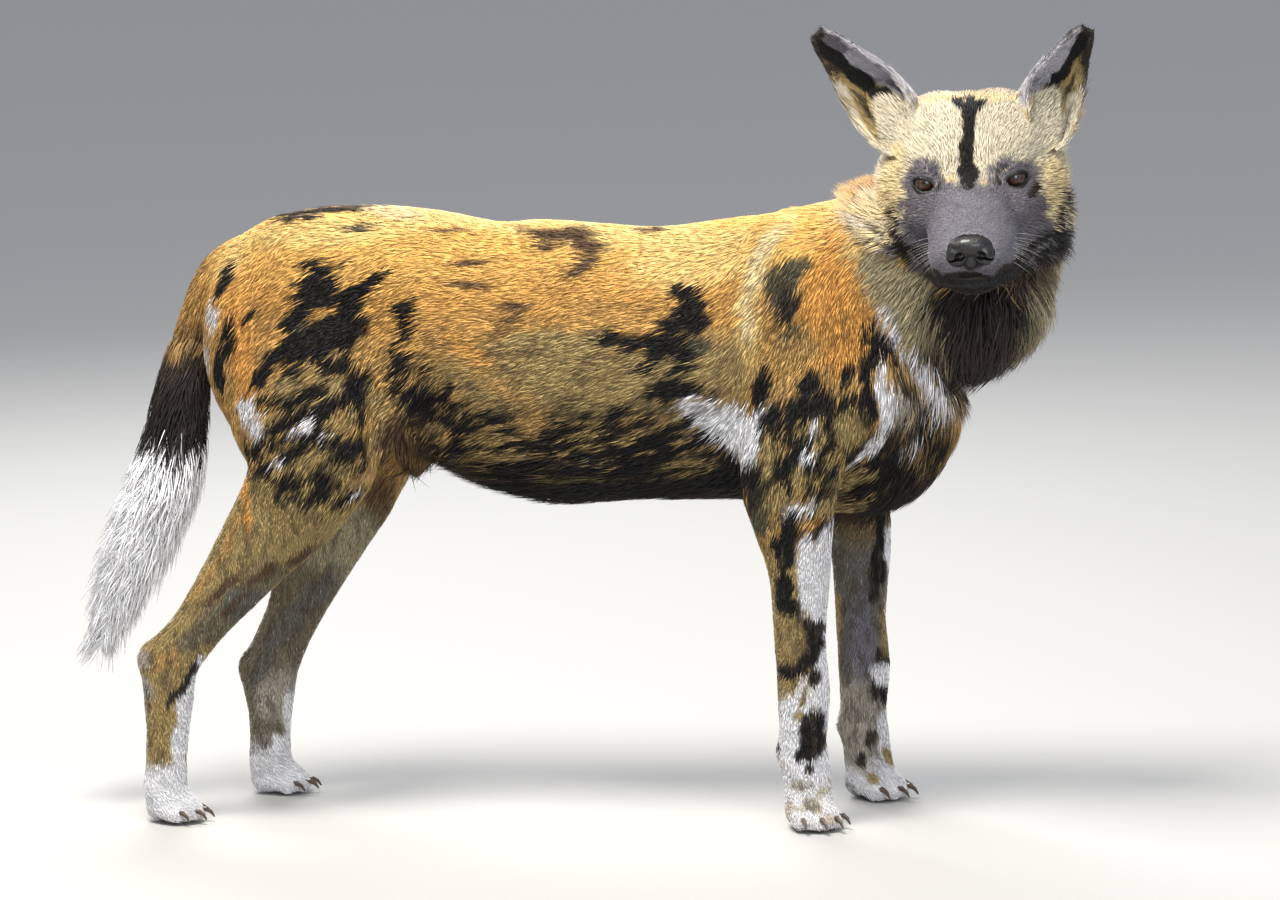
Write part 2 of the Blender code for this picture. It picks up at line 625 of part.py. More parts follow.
def muzzle(bm):
    """Short broad muzzle with hanging upper lips."""
    stations = [  # x, top, bottom, half width
        (-0.040, 0.036, -0.082, 0.058),
        (-0.004, 0.024, -0.086, 0.055),
        (0.030, 0.004, -0.088, 0.050),
        (0.060, -0.010, -0.088, 0.047),
        (0.086, -0.020, -0.085, 0.043),
        (0.100, -0.028, -0.081, 0.037),
        (0.108, -0.040, -0.074, 0.026),
    ]
    rows = smooth_rows(stations)
    centres = [(x, 0, (top + bottom) / 2) for x, top, bottom, _ in rows]
    sizes = [(wide, (top - bottom) / 2) for _, top, bottom, wide in rows]
    loft(bm, centres, sizes, egg=-0.10)


def lower_jaw(bm):
    """Chin and jaw under the lips."""
    stations = [  # x, top, bottom, half width
        (-0.070, -0.050, -0.112, 0.062),
        (-0.020, -0.060, -0.111, 0.056),
        (0.025, -0.070, -0.108, 0.045),
        (0.060, -0.074, -0.104, 0.036),
        (0.086, -0.076, -0.100, 0.027),
        (0.098, -0.078, -0.094, 0.016),
    ]
    rows = smooth_rows(stations)
    centres = [(x, 0, (top + bottom) / 2) for x, top, bottom, _ in rows]
    sizes = [(wide, (top - bottom) / 2) for _, top, bottom, wide in rows]
    loft(bm, centres, sizes)


def head_forms():
    """The head's shapes, turned into place."""
    bm = bmesh.new()
    skull(bm)
    muzzle(bm)
    lower_jaw(bm)
    bmesh.ops.transform(bm, matrix=HEAD, verts=bm.verts)
    return bm


def grown(obj, amount=GAP):
    """A copy of obj, a little larger all round."""
    made = copy_of(obj, "cutter")
    bm = bmesh.new()
    bm.from_mesh(made.data)
    bmesh.ops.recalc_face_normals(bm, faces=bm.faces)
    bm.normal_update()
    for vert, normal in [(vert, vert.normal.copy()) for vert in bm.verts]:
        vert.co += normal * amount
    bm.to_mesh(made.data)
    bm.free()
    return made


def eye_place(y):
    """The middle of an eye, looking ahead and a little outwards."""
    return Matrix.Translation(EYE_AT * Vector((1, y, 1))) @ Matrix.Rotation(y * EYE_TURN, 4, "Z")


def eyeball(name, y, radius):
    bm = bmesh.new()
    bmesh.ops.create_uvsphere(bm, u_segments=12, v_segments=8, radius=radius, matrix=HEAD @ eye_place(y))
    return mesh_object(name, bm)


def lid_opening(y):
    """An almond-shaped cutter that opens the lids in front of an eye, its inner corner the lower one."""
    bm = bmesh.new()
    outline = []
    for k in range(LID_SIDES):
        turn = 2 * math.pi * k / LID_SIDES
        height = math.sin(turn)
        lid = EYE_UPPER if height > 0 else EYE_LOWER
        outline.append((EYE_HALF_LENGTH * math.cos(turn), lid * height * abs(height) ** LID_SHARPNESS))
    place = HEAD @ eye_place(y) @ Matrix.Rotation(y * EYE_TILT, 4, "X")
    loops = []
    for x, scale in ((0.002, 0.80), (EYE_RADIUS, 1.0), (0.040, 2.0)):
        corners = [Vector((x, across * scale, up * scale)) for across, up in outline]
        loops.append([bm.verts.new(place @ corner) for corner in corners])
    for a, b in zip(loops, loops[1:]):
        for k in range(LID_SIDES):
            bm.faces.new((a[k - 1], a[k], b[k], b[k - 1]))
    bm.faces.new(loops[0])
    bm.faces.new(loops[-1])
    bmesh.ops.recalc_face_normals(bm, faces=bm.faces)
    return mesh_object("lids", bm)


def nose_pad():
    """The bare nose, still whole: broad above, narrow at the lip and flat in front."""
    bm = bmesh.new()
    ellipsoid(bm, NOSE_AT + Vector((-0.006, 0, 0.008)), (0.0145, 0.0235, 0.0120), lean(-14), 24, 16)
    ellipsoid(bm, NOSE_AT + Vector((-0.003, 0, -0.009)), (0.0110, 0.0125, 0.0140), segments=24, rings=16)
    for y in (-1, 1):
        wing = NOSE_AT + Vector((-0.005, y * 0.0140, -0.001))
        ellipsoid(bm, wing, (0.0130, 0.0125, 0.0135), lean(y * 20, "Z"))
    bmesh.ops.transform(bm, matrix=HEAD, verts=bm.verts)
    return fuse("nose", bm, NOSE_VOXEL, NOSE_SOFTENING, NOSE_TRIANGLES)


def open_nostrils(made):
    """Cuts comma-shaped nostrils into the nose, and a groove down its middle."""
    bm = bmesh.new()
    for y in (-1, 1):
        nostril = NOSE_AT + Vector((0.0070, y * 0.0120, -0.0005))
        ellipsoid(bm, nostril, (0.0100, 0.0048, 0.0056), lean(y * 36, "Z"), 8, 5)
        bmesh.ops.transform(bm, matrix=HEAD, verts=bm.verts)
        combine(made, mesh_object("nostril", bm), "DIFFERENCE")
        bm = bmesh.new()
        inner, outer = Vector((-0.001, y * 0.002, -0.002)), Vector((-0.007, y * 0.0145, -0.0075))
        slit = [nostril + inner, nostril + outer]
        loft(bm, slit, [(0.0060, 0.0018), (0.0050, 0.0010)], side=(1, 0, 0), sides=6)
        bmesh.ops.transform(bm, matrix=HEAD, verts=bm.verts)
        combine(made, mesh_object("slit", bm), "DIFFERENCE")
        bm = bmesh.new()
    groove = [NOSE_AT + Vector((0.0100, 0, 0.004)), NOSE_AT + Vector((0.0095, 0, -0.026))]
    loft(bm, groove, [(0.0011, 0.0030), (0.0014, 0.0050)], sides=6)
    bmesh.ops.transform(bm, matrix=HEAD, verts=bm.verts)
    return combine(made, mesh_object("groove", bm), "DIFFERENCE")


def mouth_line():
    """The cutter for the closed mouth: from under the nose round to both corners, and up to the nose."""
    side = [
        (0.113, 0.000, -0.0810), (0.104, 0.022, -0.0820), (0.086, 0.039, -0.0840), (0.056, 0.049, -0.0860),
        (0.024, 0.057, -0.0850), (-0.004, 0.067, -0.0780), (-0.020, 0.080, -0.0700),
    ]
    whole = [(x, -y, z) for x, y, z in reversed(side[1:])] + side
    rows = smooth_rows(whole, 3)
    bm = bmesh.new()
    centres = [Vector(row) for row in rows]
    last = len(rows) - 1
    loops = []
    for k, centre in enumerate(centres):
        ease = min(1.0, 0.15 + 4 * min(k, last - k) / last)
        deep, high = MOUTH_DEPTH * ease, MOUTH_HEIGHT / 2 * ease
        ahead = centres[min(k + 1, last)] - centres[max(k - 1, 0)]
        across = ahead.cross(Vector((0, 0, 1))).normalized()
        corners = ((-deep, 0), (0, -high), (deep, -high * 1.4), (deep, high * 1.4), (0, high))
        loops.append([bm.verts.new(HEAD @ (centre + across * a + Vector((0, 0, b)))) for a, b in corners])
    for a, b in zip(loops, loops[1:]):
        for k in range(len(a)):
            bm.faces.new((a[k - 1], a[k], b[k], b[k - 1]))
    bm.faces.new(loops[0])
    bm.faces.new(loops[-1])
    bmesh.ops.recalc_face_normals(bm, faces=bm.faces)
    return mesh_object("mouth", bm)


def lip_groove():
    """The cutter for the groove from the nose down to the mouth."""
    bm = bmesh.new()
    line = [Vector((0.117, 0, -0.060)), Vector((0.116, 0, -0.084))]
    loft(bm, line, [(0.0012, 0.0050), (0.0016, 0.0060)], sides=8)
    bmesh.ops.transform(bm, matrix=HEAD, verts=bm.verts)
    return mesh_object("groove", bm)


def ear(name, y, root, tip, face):
    """A large cupped ear: a curled blade from root to tip that opens towards face, in the head's frame."""
    along = tip - root
    length = along.length
    along.normalize()
    back = -(face - along * face.dot(along)).normalized()
    across = along.cross(back)
    # Share of the length, half width, half angle of the curl in degrees, lean of the blade backwards.
    profile = [
        (-0.16, 0.028, 150, 0.000),
        (0.05, 0.034, 120, 0.000),
        (0.34, 0.036, 78, 0.004),
        (0.54, 0.030, 62, 0.005),
        (0.74, 0.022, 52, 0.004),
        (0.90, 0.0160, 44, 0.001),
        (1.00, 0.0080, 38, -0.003),
    ]
    rows = smooth_rows(profile, 2)
    bm = bmesh.new()
    grid = []
    for share, half, curl, lean_back in rows:
        angle = math.radians(curl)
        radius = half / math.sin(min(angle, math.pi / 2))
        line = []
        for k in range(EAR_COLUMNS + 1):
            turn = angle * (2 * k / EAR_COLUMNS - 1)
            place = root + along * (share * length) + across * (radius * math.sin(turn))
            place += back * (radius * (math.cos(turn) - math.cos(min(angle, math.pi / 2))) + lean_back)
            line.append(bm.verts.new(place))
        grid.append(line)
    for low, high in zip(grid, grid[1:]):
        for k in range(EAR_COLUMNS):
            bm.faces.new((low[k], low[k + 1], high[k + 1], high[k]))
    bmesh.ops.recalc_face_normals(bm, faces=bm.faces)
    made = mesh_object(name, bm, HEAD)
    thick = made.modifiers.new("thick", "SOLIDIFY")
    thick.thickness = EAR_THICKNESS
    thick.offset = 0.0
    thick.use_even_offset = True
    bake_modifiers(made)
    made.data.validate()
    return made


def head_and_parts():
    """The head with its eyes, nose and ears, each let into it."""
    bm = head_forms()
    neck_column(bm)
    head = fuse("head", bm, HEAD_VOXEL, HEAD_SOFTENING, HEAD_TRIANGLES)
    combine(head, beyond(HEAD_CUT), "INTERSECT")
    nose = nose_pad()
    combine(head, grown(nose), "DIFFERENCE")
    open_nostrils(nose)
    combine(head, mouth_line(), "DIFFERENCE")
    combine(head, lip_groove(), "DIFFERENCE")
    for side, y in SIDE_SIGN.items():
        combine(head, eyeball("socket", y, EYE_RADIUS + GAP), "DIFFERENCE")
        combine(head, lid_opening(y), "DIFFERENCE")
        finish(eyeball("eye", y, EYE_RADIUS), f"eye_{side}", SURFACES["eye"])
        made = ear("ear", y, *EARS[side])
        combine(made, grown(head), "DIFFERENCE")
        finish(made, f"ear_{side}", SURFACES["coat"])
    finish(head, "head", SURFACES["coat"])
    finish(nose, "nose", SURFACES["nose"])


def body_skin():
    """Trunk, neck and legs under one closed skin."""
    bm = head_forms()
    trunk(bm)
    neck_column(bm)
    for side in SIDE_SIGN:
        shoulder_muscles(bm, side)
        haunch_muscles(bm, side)
        foreleg(bm, side)
        hind_leg(bm, side)
    return fuse("body", bm, BODY_VOXEL, BODY_SOFTENING, BODY_TRIANGLES)


def part_off(body, cutter_of):
    """Takes off body what lies in the cutter and returns it, with a thin gap left between the two."""
    piece = copy_of(body, "piece")
    combine(piece, cutter_of(0.0), "INTERSECT")
    combine(body, cutter_of(GAP), "DIFFERENCE")
    return keep_largest(piece)


def main():
    for old in list(bpy.data.objects):
        bpy.data.objects.remove(old)
    SURFACES["coat"] = material("coat", (0.55, 0.36, 0.17), 0.85)
    SURFACES["brush"] = material("white_brush", (0.85, 0.83, 0.78), 0.85)
    SURFACES["nose"] = material("bare_nose", (0.02, 0.02, 0.022), 0.35)
    SURFACES["eye"] = material("eye", (0.12, 0.045, 0.02), 0.08)
    SURFACES["horn"] = material("claw_horn", (0.05, 0.045, 0.04), 0.4)
    head_and_parts()
    tail = tail_skin()
    body = body_skin()
    combine(body, beyond(HEAD_CUT, GAP), "DIFFERENCE")
    combine(body, grown(tail), "DIFFERENCE")
    brush = part_off(tail, lambda grow: beyond(BRUSH_CUT, grow))
    fuse_locks(brush, brush_locks())
    combine(brush, beyond(BRUSH_CUT), "INTERSECT", "MANIFOLD")
    finish(tail, "tail_base", SURFACES["coat"])
    finish(brush, "tail_brush", SURFACES["brush"])
    neck = part_off(body, lambda grow: beyond(NECK_CUT, grow))
    fuse_locks(neck, ruff_locks(neck))
    combine(neck, grown(body), "DIFFERENCE", "MANIFOLD")
    combine(neck, beyond(HEAD_CUT, GAP), "DIFFERENCE", "MANIFOLD")
    finish(neck, "neck", SURFACES["coat"])
    combine(body, beyond(PAW_CUT_UNDER, 0.0), "DIFFERENCE")
    for side, y in SIDE_SIGN.items():
        low, high = (FORE_BLOCK_INNER, BLOCK_OUTER) if y > 0 else (-BLOCK_OUTER, -FORE_BLOCK_INNER)
        leg = part_off(body, lambda grow: slab(FORE_BLOCK, low, high, grow))
        lower = part_off(leg, lambda grow: beyond(ELBOW_CUT, grow))
        finish(leg, f"upper_arm_{side}", SURFACES["coat"])
        finish(lower, f"forearm_{side}", SURFACES["coat"])
        low, high = (GAP / 2, BLOCK_OUTER) if y > 0 else (-BLOCK_OUTER, -GAP / 2)
        leg = part_off(body, lambda grow: slab(THIGH_BLOCK, low, high, grow))
        _, knee, hock, foot = hind_joints(side)
        down = (hock - knee).normalized()
        shank = part_off(leg, lambda grow: beyond((knee.lerp(hock, KNEE_CUT_SHARE), down), grow))
        below = part_off(shank, lambda grow: beyond((hock + HOCK_CUT_DROP, HOCK_FACING), grow))
        finish(leg, f"thigh_{side}", SURFACES["coat"])
        finish(shank, f"shank_{side}", SURFACES["coat"])
        finish(below, f"hind_foot_{side}", SURFACES["coat"])
        fore = Vector((FORE_FOOT_X[side], y * HALF_STANCE, 0))
        made = paw(f"paw_fore_{side}", side, fore, PAW_TURN[side], 1.0, foreleg)
        finish(made, made.name, SURFACES["coat"])
        made = paw(f"paw_hind_{side}", side, foot, HIND_PAW_TURN[side], HIND_PAW_SIZE, hind_leg)
        finish(made, made.name, SURFACES["coat"])
    finish(body, "torso", SURFACES["coat"])


main()
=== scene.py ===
# %% [markdown]
# # An African wild dog, life size
# A museum model of a standing wild dog that turns its head to its right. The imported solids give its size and
# pose. Here they get one skin, eyes, a nose and a coat of solid tufts with the dog's own markings.
# Each step below first says what the piece is on the real animal, then how it is made.

import math

import bmesh
import bpy
import numpy as np
from mathutils import Matrix, Vector
from mathutils.bvhtree import BVHTree


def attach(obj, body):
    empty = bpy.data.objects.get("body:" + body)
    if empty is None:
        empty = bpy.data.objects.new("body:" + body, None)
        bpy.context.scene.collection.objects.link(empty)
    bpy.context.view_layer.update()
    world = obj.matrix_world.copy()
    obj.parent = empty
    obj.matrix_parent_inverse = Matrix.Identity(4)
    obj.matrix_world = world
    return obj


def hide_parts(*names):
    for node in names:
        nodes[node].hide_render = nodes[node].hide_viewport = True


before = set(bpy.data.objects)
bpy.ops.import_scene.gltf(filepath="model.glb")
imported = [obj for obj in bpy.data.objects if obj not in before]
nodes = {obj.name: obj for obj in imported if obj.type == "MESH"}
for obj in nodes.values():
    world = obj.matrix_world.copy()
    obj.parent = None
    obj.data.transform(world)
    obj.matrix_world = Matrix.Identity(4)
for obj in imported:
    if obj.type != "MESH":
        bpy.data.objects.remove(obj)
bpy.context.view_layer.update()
rng = np.random.default_rng(8)

# %% [markdown]
# ## Places on the body
# All places are given as the dog stands: x runs to its chest, y to its left and z up from the floor. The
# solids' origin lies under the middle of their box, a little off that line, so a place is moved by SHIFT.
# The head has a frame of its own, with the eyes at its origin and its nose along x.

# %% Frames of the body and the head
SHIFT = Vector((0.0613, 0.0605, 0.0))
BODY = Matrix.Translation(SHIFT)
EYE_LINE = Vector((0.404, -0.140, 0.741))
HEAD = (
    Matrix.Translation(EYE_LINE)
    @ Matrix.Rotation(math.radians(-85), 4, "Z")
    @ Matrix.Rotation(math.radians(12), 4, "Y")
    @ Matrix.Rotation(math.radians(2.5), 4, "X")
)
HEAD_IN_ROW = BODY @ HEAD
EYE_RADIUS = 0.0132
EARS = {  # root, tip and the way the cup opens, in the head's frame
    "ear_right": ((-0.058, -0.076, 0.050), (-0.083, -0.163, 0.159), (0.88, -0.42, 0.25)),
    "ear_left": ((-0.058, 0.082, 0.044), (-0.078, 0.138, 0.147), (0.80, 0.58, 0.25)),
}
EARS = {name: tuple(Vector(v) for v in ear) for name, ear in EARS.items()}


def eye_place(side):
    """The middle of an eye in the head's frame, looking ahead and a little outwards."""
    outwards = Matrix.Rotation(side * math.radians(22), 4, "Z")
    return Matrix.Translation((-0.0105, side * 0.0490, 0.0)) @ outwards


def table(text):
    """Rows of numbers from a text, in which a comma ends a row."""
    return [tuple(float(word) for word in row.split()) for row in text.split(",")]


def in_frame(matrix, points):
    """Points of the row's frame as an array in another frame."""
    turn = np.array(matrix.inverted())
    return points @ turn[:3, :3].T + turn[:3, 3]


# %% [markdown]
# ## Shapes from rings
# A neck, a tail, a lip or a whisker is a tube. Each is made of circles, one for each place on its line, that
# are bridged to each other and closed at both ends. An egg is a sphere that is stretched along its axes.

# %% A tube through places
def smooth_rows(rows, steps):
    """Rows of numbers with more between them, on a smooth curve through all."""
    rows = [tuple(row) for row in rows]
    ends = [rows[0], *rows, rows[-1]]
    found = []
    for a, b, c, d in zip(ends, ends[1:], ends[2:], ends[3:]):
        for step in range(steps):
            t = step / steps
            row = []
            for p, q, r, s in zip(a, b, c, d):
                bend = (2 * p - 5 * q + 4 * r - s) * t * t
                row.append(0.5 * (2 * q + (r - p) * t + bend + (3 * q - p - 3 * r + s) * t**3))
            found.append(row)
    found.append(list(rows[-1]))
    return found


def tube(bm, places, sizes, side, sides=32):
    """A closed tube. sizes holds half the width along side, and half the depth across it, of each ring."""
    places = [Vector(p) for p in places]
    rings = []
    for i, (place, (wide, deep)) in enumerate(zip(places, sizes)):
        along = (places[min(i + 1, len(places) - 1)] - places[max(i - 1, 0)]).normalized()
        across = Vector(side)
        across = (across - along * across.dot(along)).normalized()
        turn = Matrix((across, along.cross(across), along)).transposed().to_4x4()
        matrix = Matrix.Translation(place) @ turn @ Matrix.Diagonal((wide, deep, 1.0, 1.0))
        ring = bmesh.ops.create_circle(bm, segments=sides, radius=1.0, matrix=matrix)["verts"]
        rings.append(ring)
    for a, b in zip(rings, rings[1:]):
        edges = [e for ring in (a, b) for v in ring for e in v.link_edges if e.other_vert(v) in ring]
        bmesh.ops.bridge_loops(bm, edges=list(set(edges)))
    for ring in (rings[0], rings[-1]):
        edges = list({e for v in ring for e in v.link_edges if e.other_vert(v) in ring})
        bmesh.ops.contextual_create(bm, geom=edges)
    bmesh.ops.recalc_face_normals(bm, faces=bm.faces)


def egg(bm, place, radii, turn=Matrix.Identity(4), around=28):
    matrix = Matrix.Translation(place) @ turn @ Matrix.Diagonal((*radii, 1.0))
    bmesh.ops.create_uvsphere(bm, u_segments=around, v_segments=around * 2 // 3, radius=1.0, matrix=matrix)


def in_scene(name, data):
    """A new object of the scene with the given mesh, lamp or camera."""
    made = bpy.data.objects.new(name, data)
    bpy.context.scene.collection.objects.link(made)
    return made


def new_piece(name, bm, matrix=Matrix.Identity(4)):
    bmesh.ops.transform(bm, matrix=matrix, verts=bm.verts)
    mesh = bpy.data.meshes.new(name)
    bm.to_mesh(mesh)
    bm.free()
    return in_scene(name, mesh)


def reshape(piece, kind, **settings):
    """Adds a modifier with its settings to a piece, and applies it."""
    modifier = piece.modifiers.new(kind.lower(), kind)
    for key, value in settings.items():
        setattr(modifier, key, value)
    graph = bpy.context.evaluated_depsgraph_get()
    mesh = bpy.data.meshes.new_from_object(piece.evaluated_get(graph), depsgraph=graph)
    piece.modifiers.clear()
    piece.data = mesh
    return piece


# %% [markdown]
# ## Flesh under the coat
# The real dog is one body, so its skin shows no joint between parts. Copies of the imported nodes, each a trace
# larger so that they overlap, are fused by a voxel remesh. The neck and the tail carry long locks in the
# solids, so only their cores are made again here, from the same stations.
# The head gets a fine grid and the body a coarser one, and a boolean joins the two under the ruff.

# %% Fuse the head and the body
OVERLAP = 0.0004
HEAD_GRID, BODY_GRID = 0.0016, 0.0058
HEAD_NODES = ("head", "ear_left", "ear_right")
SIDES = ("left", "right")
BODY_NODES = ("torso", "tail_base") + tuple(
    f"{part}_{side}"
    for part in ("upper_arm", "forearm", "paw_fore", "thigh", "shank", "hind_foot", "paw_hind")
    for side in SIDES
)


def add_copy(bm, name):
    """Adds a node's shape to bm, its triangles joined and its surface moved out by the overlap."""
    piece = bmesh.new()
    piece.from_mesh(nodes[name].data)
    bmesh.ops.remove_doubles(piece, verts=piece.verts, dist=1e-5)
    bmesh.ops.recalc_face_normals(piece, faces=piece.faces)
    piece.normal_update()
    for vert, normal in [(v, v.normal.copy()) for v in piece.verts]:
        vert.co += normal * OVERLAP
    mesh = bpy.data.meshes.new("copy")
    piece.to_mesh(mesh)
    piece.free()
    bm.from_mesh(mesh)
    bpy.data.meshes.remove(mesh)


def fused(name, bm, grid):
    return reshape(new_piece(name, bm), "REMESH", mode="VOXEL", voxel_size=grid)


NECK_ROWS = table("""
    .2 0 .575 .084 .124, .275 -.002 .597 .084 .122, .345 -.012 .632 .084 .112, .395 -.038 .672 .083 .1,
    .41 -.075 .704 .079 .088, .406 -.11 .722 .066 .072
""")
TAIL_ROWS = table("""
    -.452 0 .65 .024 .0235, -.48 0 .64 .026 .0255, -.504 0 .605 .026 .025, -.523 0 .55 .027 .024,
    -.539 -.002 .495 .031 .0225, -.547 -.004 .44 .039 .0185, -.561 -.006 .39 .046 .016,
    -.583 -.008 .338 .047 .0145, -.609 -.009 .282 .041 .012, -.628 -.01 .235 .031 .0085,
    -.638 -.01 .205 .022 .005
""")


def neck_core(bm):
    rows = smooth_rows(NECK_ROWS, 4)
    tube(bm, [Vector(r[:3]) + SHIFT for r in rows], [(r[3], r[4]) for r in rows], side=(-0.35, 1, 0))
    egg(bm, Vector((0.408, -0.052, 0.606)) + SHIFT, (0.070, 0.062, 0.062))
    egg(bm, Vector((0.392, -0.042, 0.564)) + SHIFT, (0.048, 0.046, 0.044))


def tail_core(bm):
    rows = smooth_rows(TAIL_ROWS, 4)
    tube(bm, [Vector(r[:3]) + SHIFT for r in rows], [(r[4], r[4]) for r in rows], side=(0, 1, 0), sides=20)


bm = bmesh.new()
for name in BODY_NODES:
    add_copy(bm, name)
neck_core(bm)
tail_core(bm)
body = fused("body", bm, BODY_GRID)
print("body", len(body.data.polygons), "faces")

# %% [markdown]
# ## Lids and lips
# Each eye looks out through an almond between two lids with a thick, bare, black rim, and the closed mouth
# has a rounded lip above and below its line. The cup of each ear is filled at its root by a soft ramp of
# flesh. All follow the eyeball, the line of the mouth or the ear, and are fused into the skin with the head,
# so that no seam shows round them.

# %% Lids, lips and the roots of the ears, in the head's frame
MOUTH = table("""
    .113 0 -.081, .104 .022 -.082, .086 .039 -.084, .056 .049 -.086, .024 .057 -.085, -.004 .067 -.078,
    -.02 .08 -.07
""")
OPENING = (0.0128, 0.0074, 0.0076)  # half the length of the almond, its height above and below the middle
RIM_PLACES = 28
BROW = table("0.007 -0.015 0.006, 0.011 -0.008 0.014, 0.012 0.002 0.016, 0.0085 0.012 0.012")
# Along the ear, behind it, half width, half depth
EAR_RAMP = table("""
    -0.026 0.004 0.031 0.026, 0.006 0.009 0.03 0.019, 0.03 0.016 0.025 0.0115, 0.056 0.0215 0.012 0.004
""")


def lid_line(side):
    """Places round the opening of the lids, just in front of the eyeball."""
    place = eye_place(side) @ Matrix.Rotation(side * math.radians(9), 4, "X")
    half, upper, lower = OPENING
    line = []
    for k in range(RIM_PLACES):
        turn = 2 * math.pi * k / RIM_PLACES
        lid = upper if math.sin(turn) > 0 else lower
        y = half * math.cos(turn)
        z = lid * math.sin(turn) * abs(math.sin(turn)) ** 0.35
        x = math.sqrt(max(EYE_RADIUS**2 - y * y - z * z, 0.0)) + 0.0008
        line.append(place @ Vector((x, y, z)))
    return line


bm = bmesh.new()
for side in (-1, 1):
    for place in lid_line(side):
        egg(bm, place, (0.0020, 0.0020, 0.0018), around=9)
    brow = [eye_place(side) @ Vector(place) for place in BROW]
    tube(bm, brow, [(r, r) for r in (0.0020, 0.0034, 0.0034, 0.0020)], side=(1, 0, 0), sides=12)
for root, tip, opens in EARS.values():
    along = (tip - root).normalized()
    behind = (along * opens.dot(along) - opens).normalized()
    places = [root + along * far + behind * deep for far, deep, _, _ in EAR_RAMP]
    tube(bm, places, [row[2:] for row in EAR_RAMP], side=along.cross(behind), sides=24)
mouth_line = smooth_rows([(x, -y, z) for x, y, z in reversed(MOUTH[1:])] + list(MOUTH), 4)
for lift, thick in ((0.0042, 0.0036), (-0.0040, 0.0032)):
    places = [Vector(p) + Vector((-0.0030, 0, lift)) for p in mouth_line]
    tube(bm, places, [(thick, thick)] * len(places), side=(0, 0, 1), sides=12)
bmesh.ops.transform(bm, matrix=HEAD_IN_ROW, verts=bm.verts)
for name in HEAD_NODES:
    add_copy(bm, name)
head = reshape(fused("head_skin", bm, HEAD_GRID), "DECIMATE", ratio=0.39)
print("head", len(head.data.polygons), "faces")

# %% Join them and keep the largest closed surface
skin = reshape(head, "BOOLEAN", operation="UNION", solver="MANIFOLD", object=body)
skin.name = "skin"
bpy.data.objects.remove(body)
bm = bmesh.new()
bm.from_mesh(skin.data)
bmesh.ops.triangulate(bm, faces=bm.faces)
parts = []
left = set(bm.faces)
while left:
    part = [left.pop()]
    for face in part:
        for edge in face.edges:
            for other in edge.link_faces:
                if other in left:
                    left.discard(other)
                    part.append(other)
    parts.append(part)
parts.sort(key=len)
for part in parts[:-1]:
    bmesh.ops.delete(bm, geom=part, context="FACES")
bm.to_mesh(skin.data)
bm.free()
print("skin", len(skin.data.polygons), "triangles, loose scraps dropped", len(parts) - 1)

# %% [markdown]
# ## Which part of the body each place belongs to
# Length, thickness and lie of the hair change over the body. Every corner of the skin takes the name of the
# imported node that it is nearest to, and then fields such as hair length are set by name and softened over
# the mesh, so that no edge shows between parts.

# %% Names and fields on the skin
FLESH = HEAD_NODES + ("neck", "tail_brush") + BODY_NODES
mesh = skin.data
count = len(mesh.vertices)


def read(rows, key, wide, kind=float):
    """What every row of a mesh holds under a key, as an array."""
    values = np.zeros(len(rows) * wide, kind)
    rows.foreach_get(key, values)
    return values.reshape(-1, wide)


def unit(values):
    return np.clip(values, 0, 1)


def span_of(vectors):
    return np.linalg.norm(vectors, axis=-1)


co = read(mesh.vertices, "co", 3)
edges = read(mesh.edges, "vertices", 2, int)
triangles = read(mesh.polygons, "vertices", 3, int)
links = np.bincount(edges.ravel(), minlength=count).astype(float)


def spread(values):
    """Each corner's mean of its neighbours."""
    a, b = edges[:, 0], edges[:, 1]
    sums = []
    for column in values.reshape(count, -1).T:
        sums.append(np.bincount(a, column[b], count) + np.bincount(b, column[a], count))
    return (np.stack(sums, 1) / links[:, None]).reshape(values.shape)


def soften(values, rounds):
    for _ in range(rounds):
        values = 0.5 * (values + spread(values))
    return values


def corner_normals(places):
    a, b, c = (places[triangles[:, k]] for k in range(3))
    face = np.cross(b - a, c - a)
    total = np.zeros_like(places)
    for k in range(3):
        for axis in range(3):
            total[:, axis] += np.bincount(triangles[:, k], face[:, axis], count)
    return total / np.maximum(span_of(total), 1e-12)[:, None]


corners, faces, owners = [], [], []
for index, name in enumerate(FLESH):
    start = len(corners)
    corners += [v.co.copy() for v in nodes[name].data.vertices]
    faces += [[start + k for k in p.vertices] for p in nodes[name].data.polygons]
    owners += [index] * len(nodes[name].data.polygons)
solids = BVHTree.FromPolygons(corners, faces)
label = np.array([owners[solids.find_nearest(p)[2]] for p in co.tolist()])


def is_part(labels, *words):
    found = np.zeros(len(labels), bool)
    for index, name in enumerate(FLESH):
        if any(name.startswith(word) or name.endswith(word) for word in words):
            found |= labels == index
    return found


print("parts", {name: int((label == k).sum()) for k, name in enumerate(FLESH)})

# %% [markdown]
# ## Smoothing, and room for the coat
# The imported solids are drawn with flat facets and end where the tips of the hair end. The skin is smoothed
# without shrinking, a step in and a like step back out, much on the barrel and little on ears, toes and lids.
# Then it is moved inwards by the depth of the coat, from half a millimetre on the muzzle to four on the neck.

# %% Smooth the skin and move it in by the depth of the coat
at_body = in_frame(BODY, co)
at_head = in_frame(HEAD_IN_ROW, co)
on_head = is_part(label, "head")
on_ear = is_part(label, "ear_")
on_paw = is_part(label, "paw_")
on_leg = is_part(label, "forearm", "shank", "hind_foot") | on_paw
on_neck = is_part(label, "neck")
on_tail = is_part(label, "tail_")
on_brush = is_part(label, "tail_brush")


def near(points, place, reach):
    """1 at a place, falling to 0 at its reach."""
    gap = span_of((points - np.array(place)) / np.array(reach))
    return unit(1 - gap) ** 0.5 * (gap < 1)


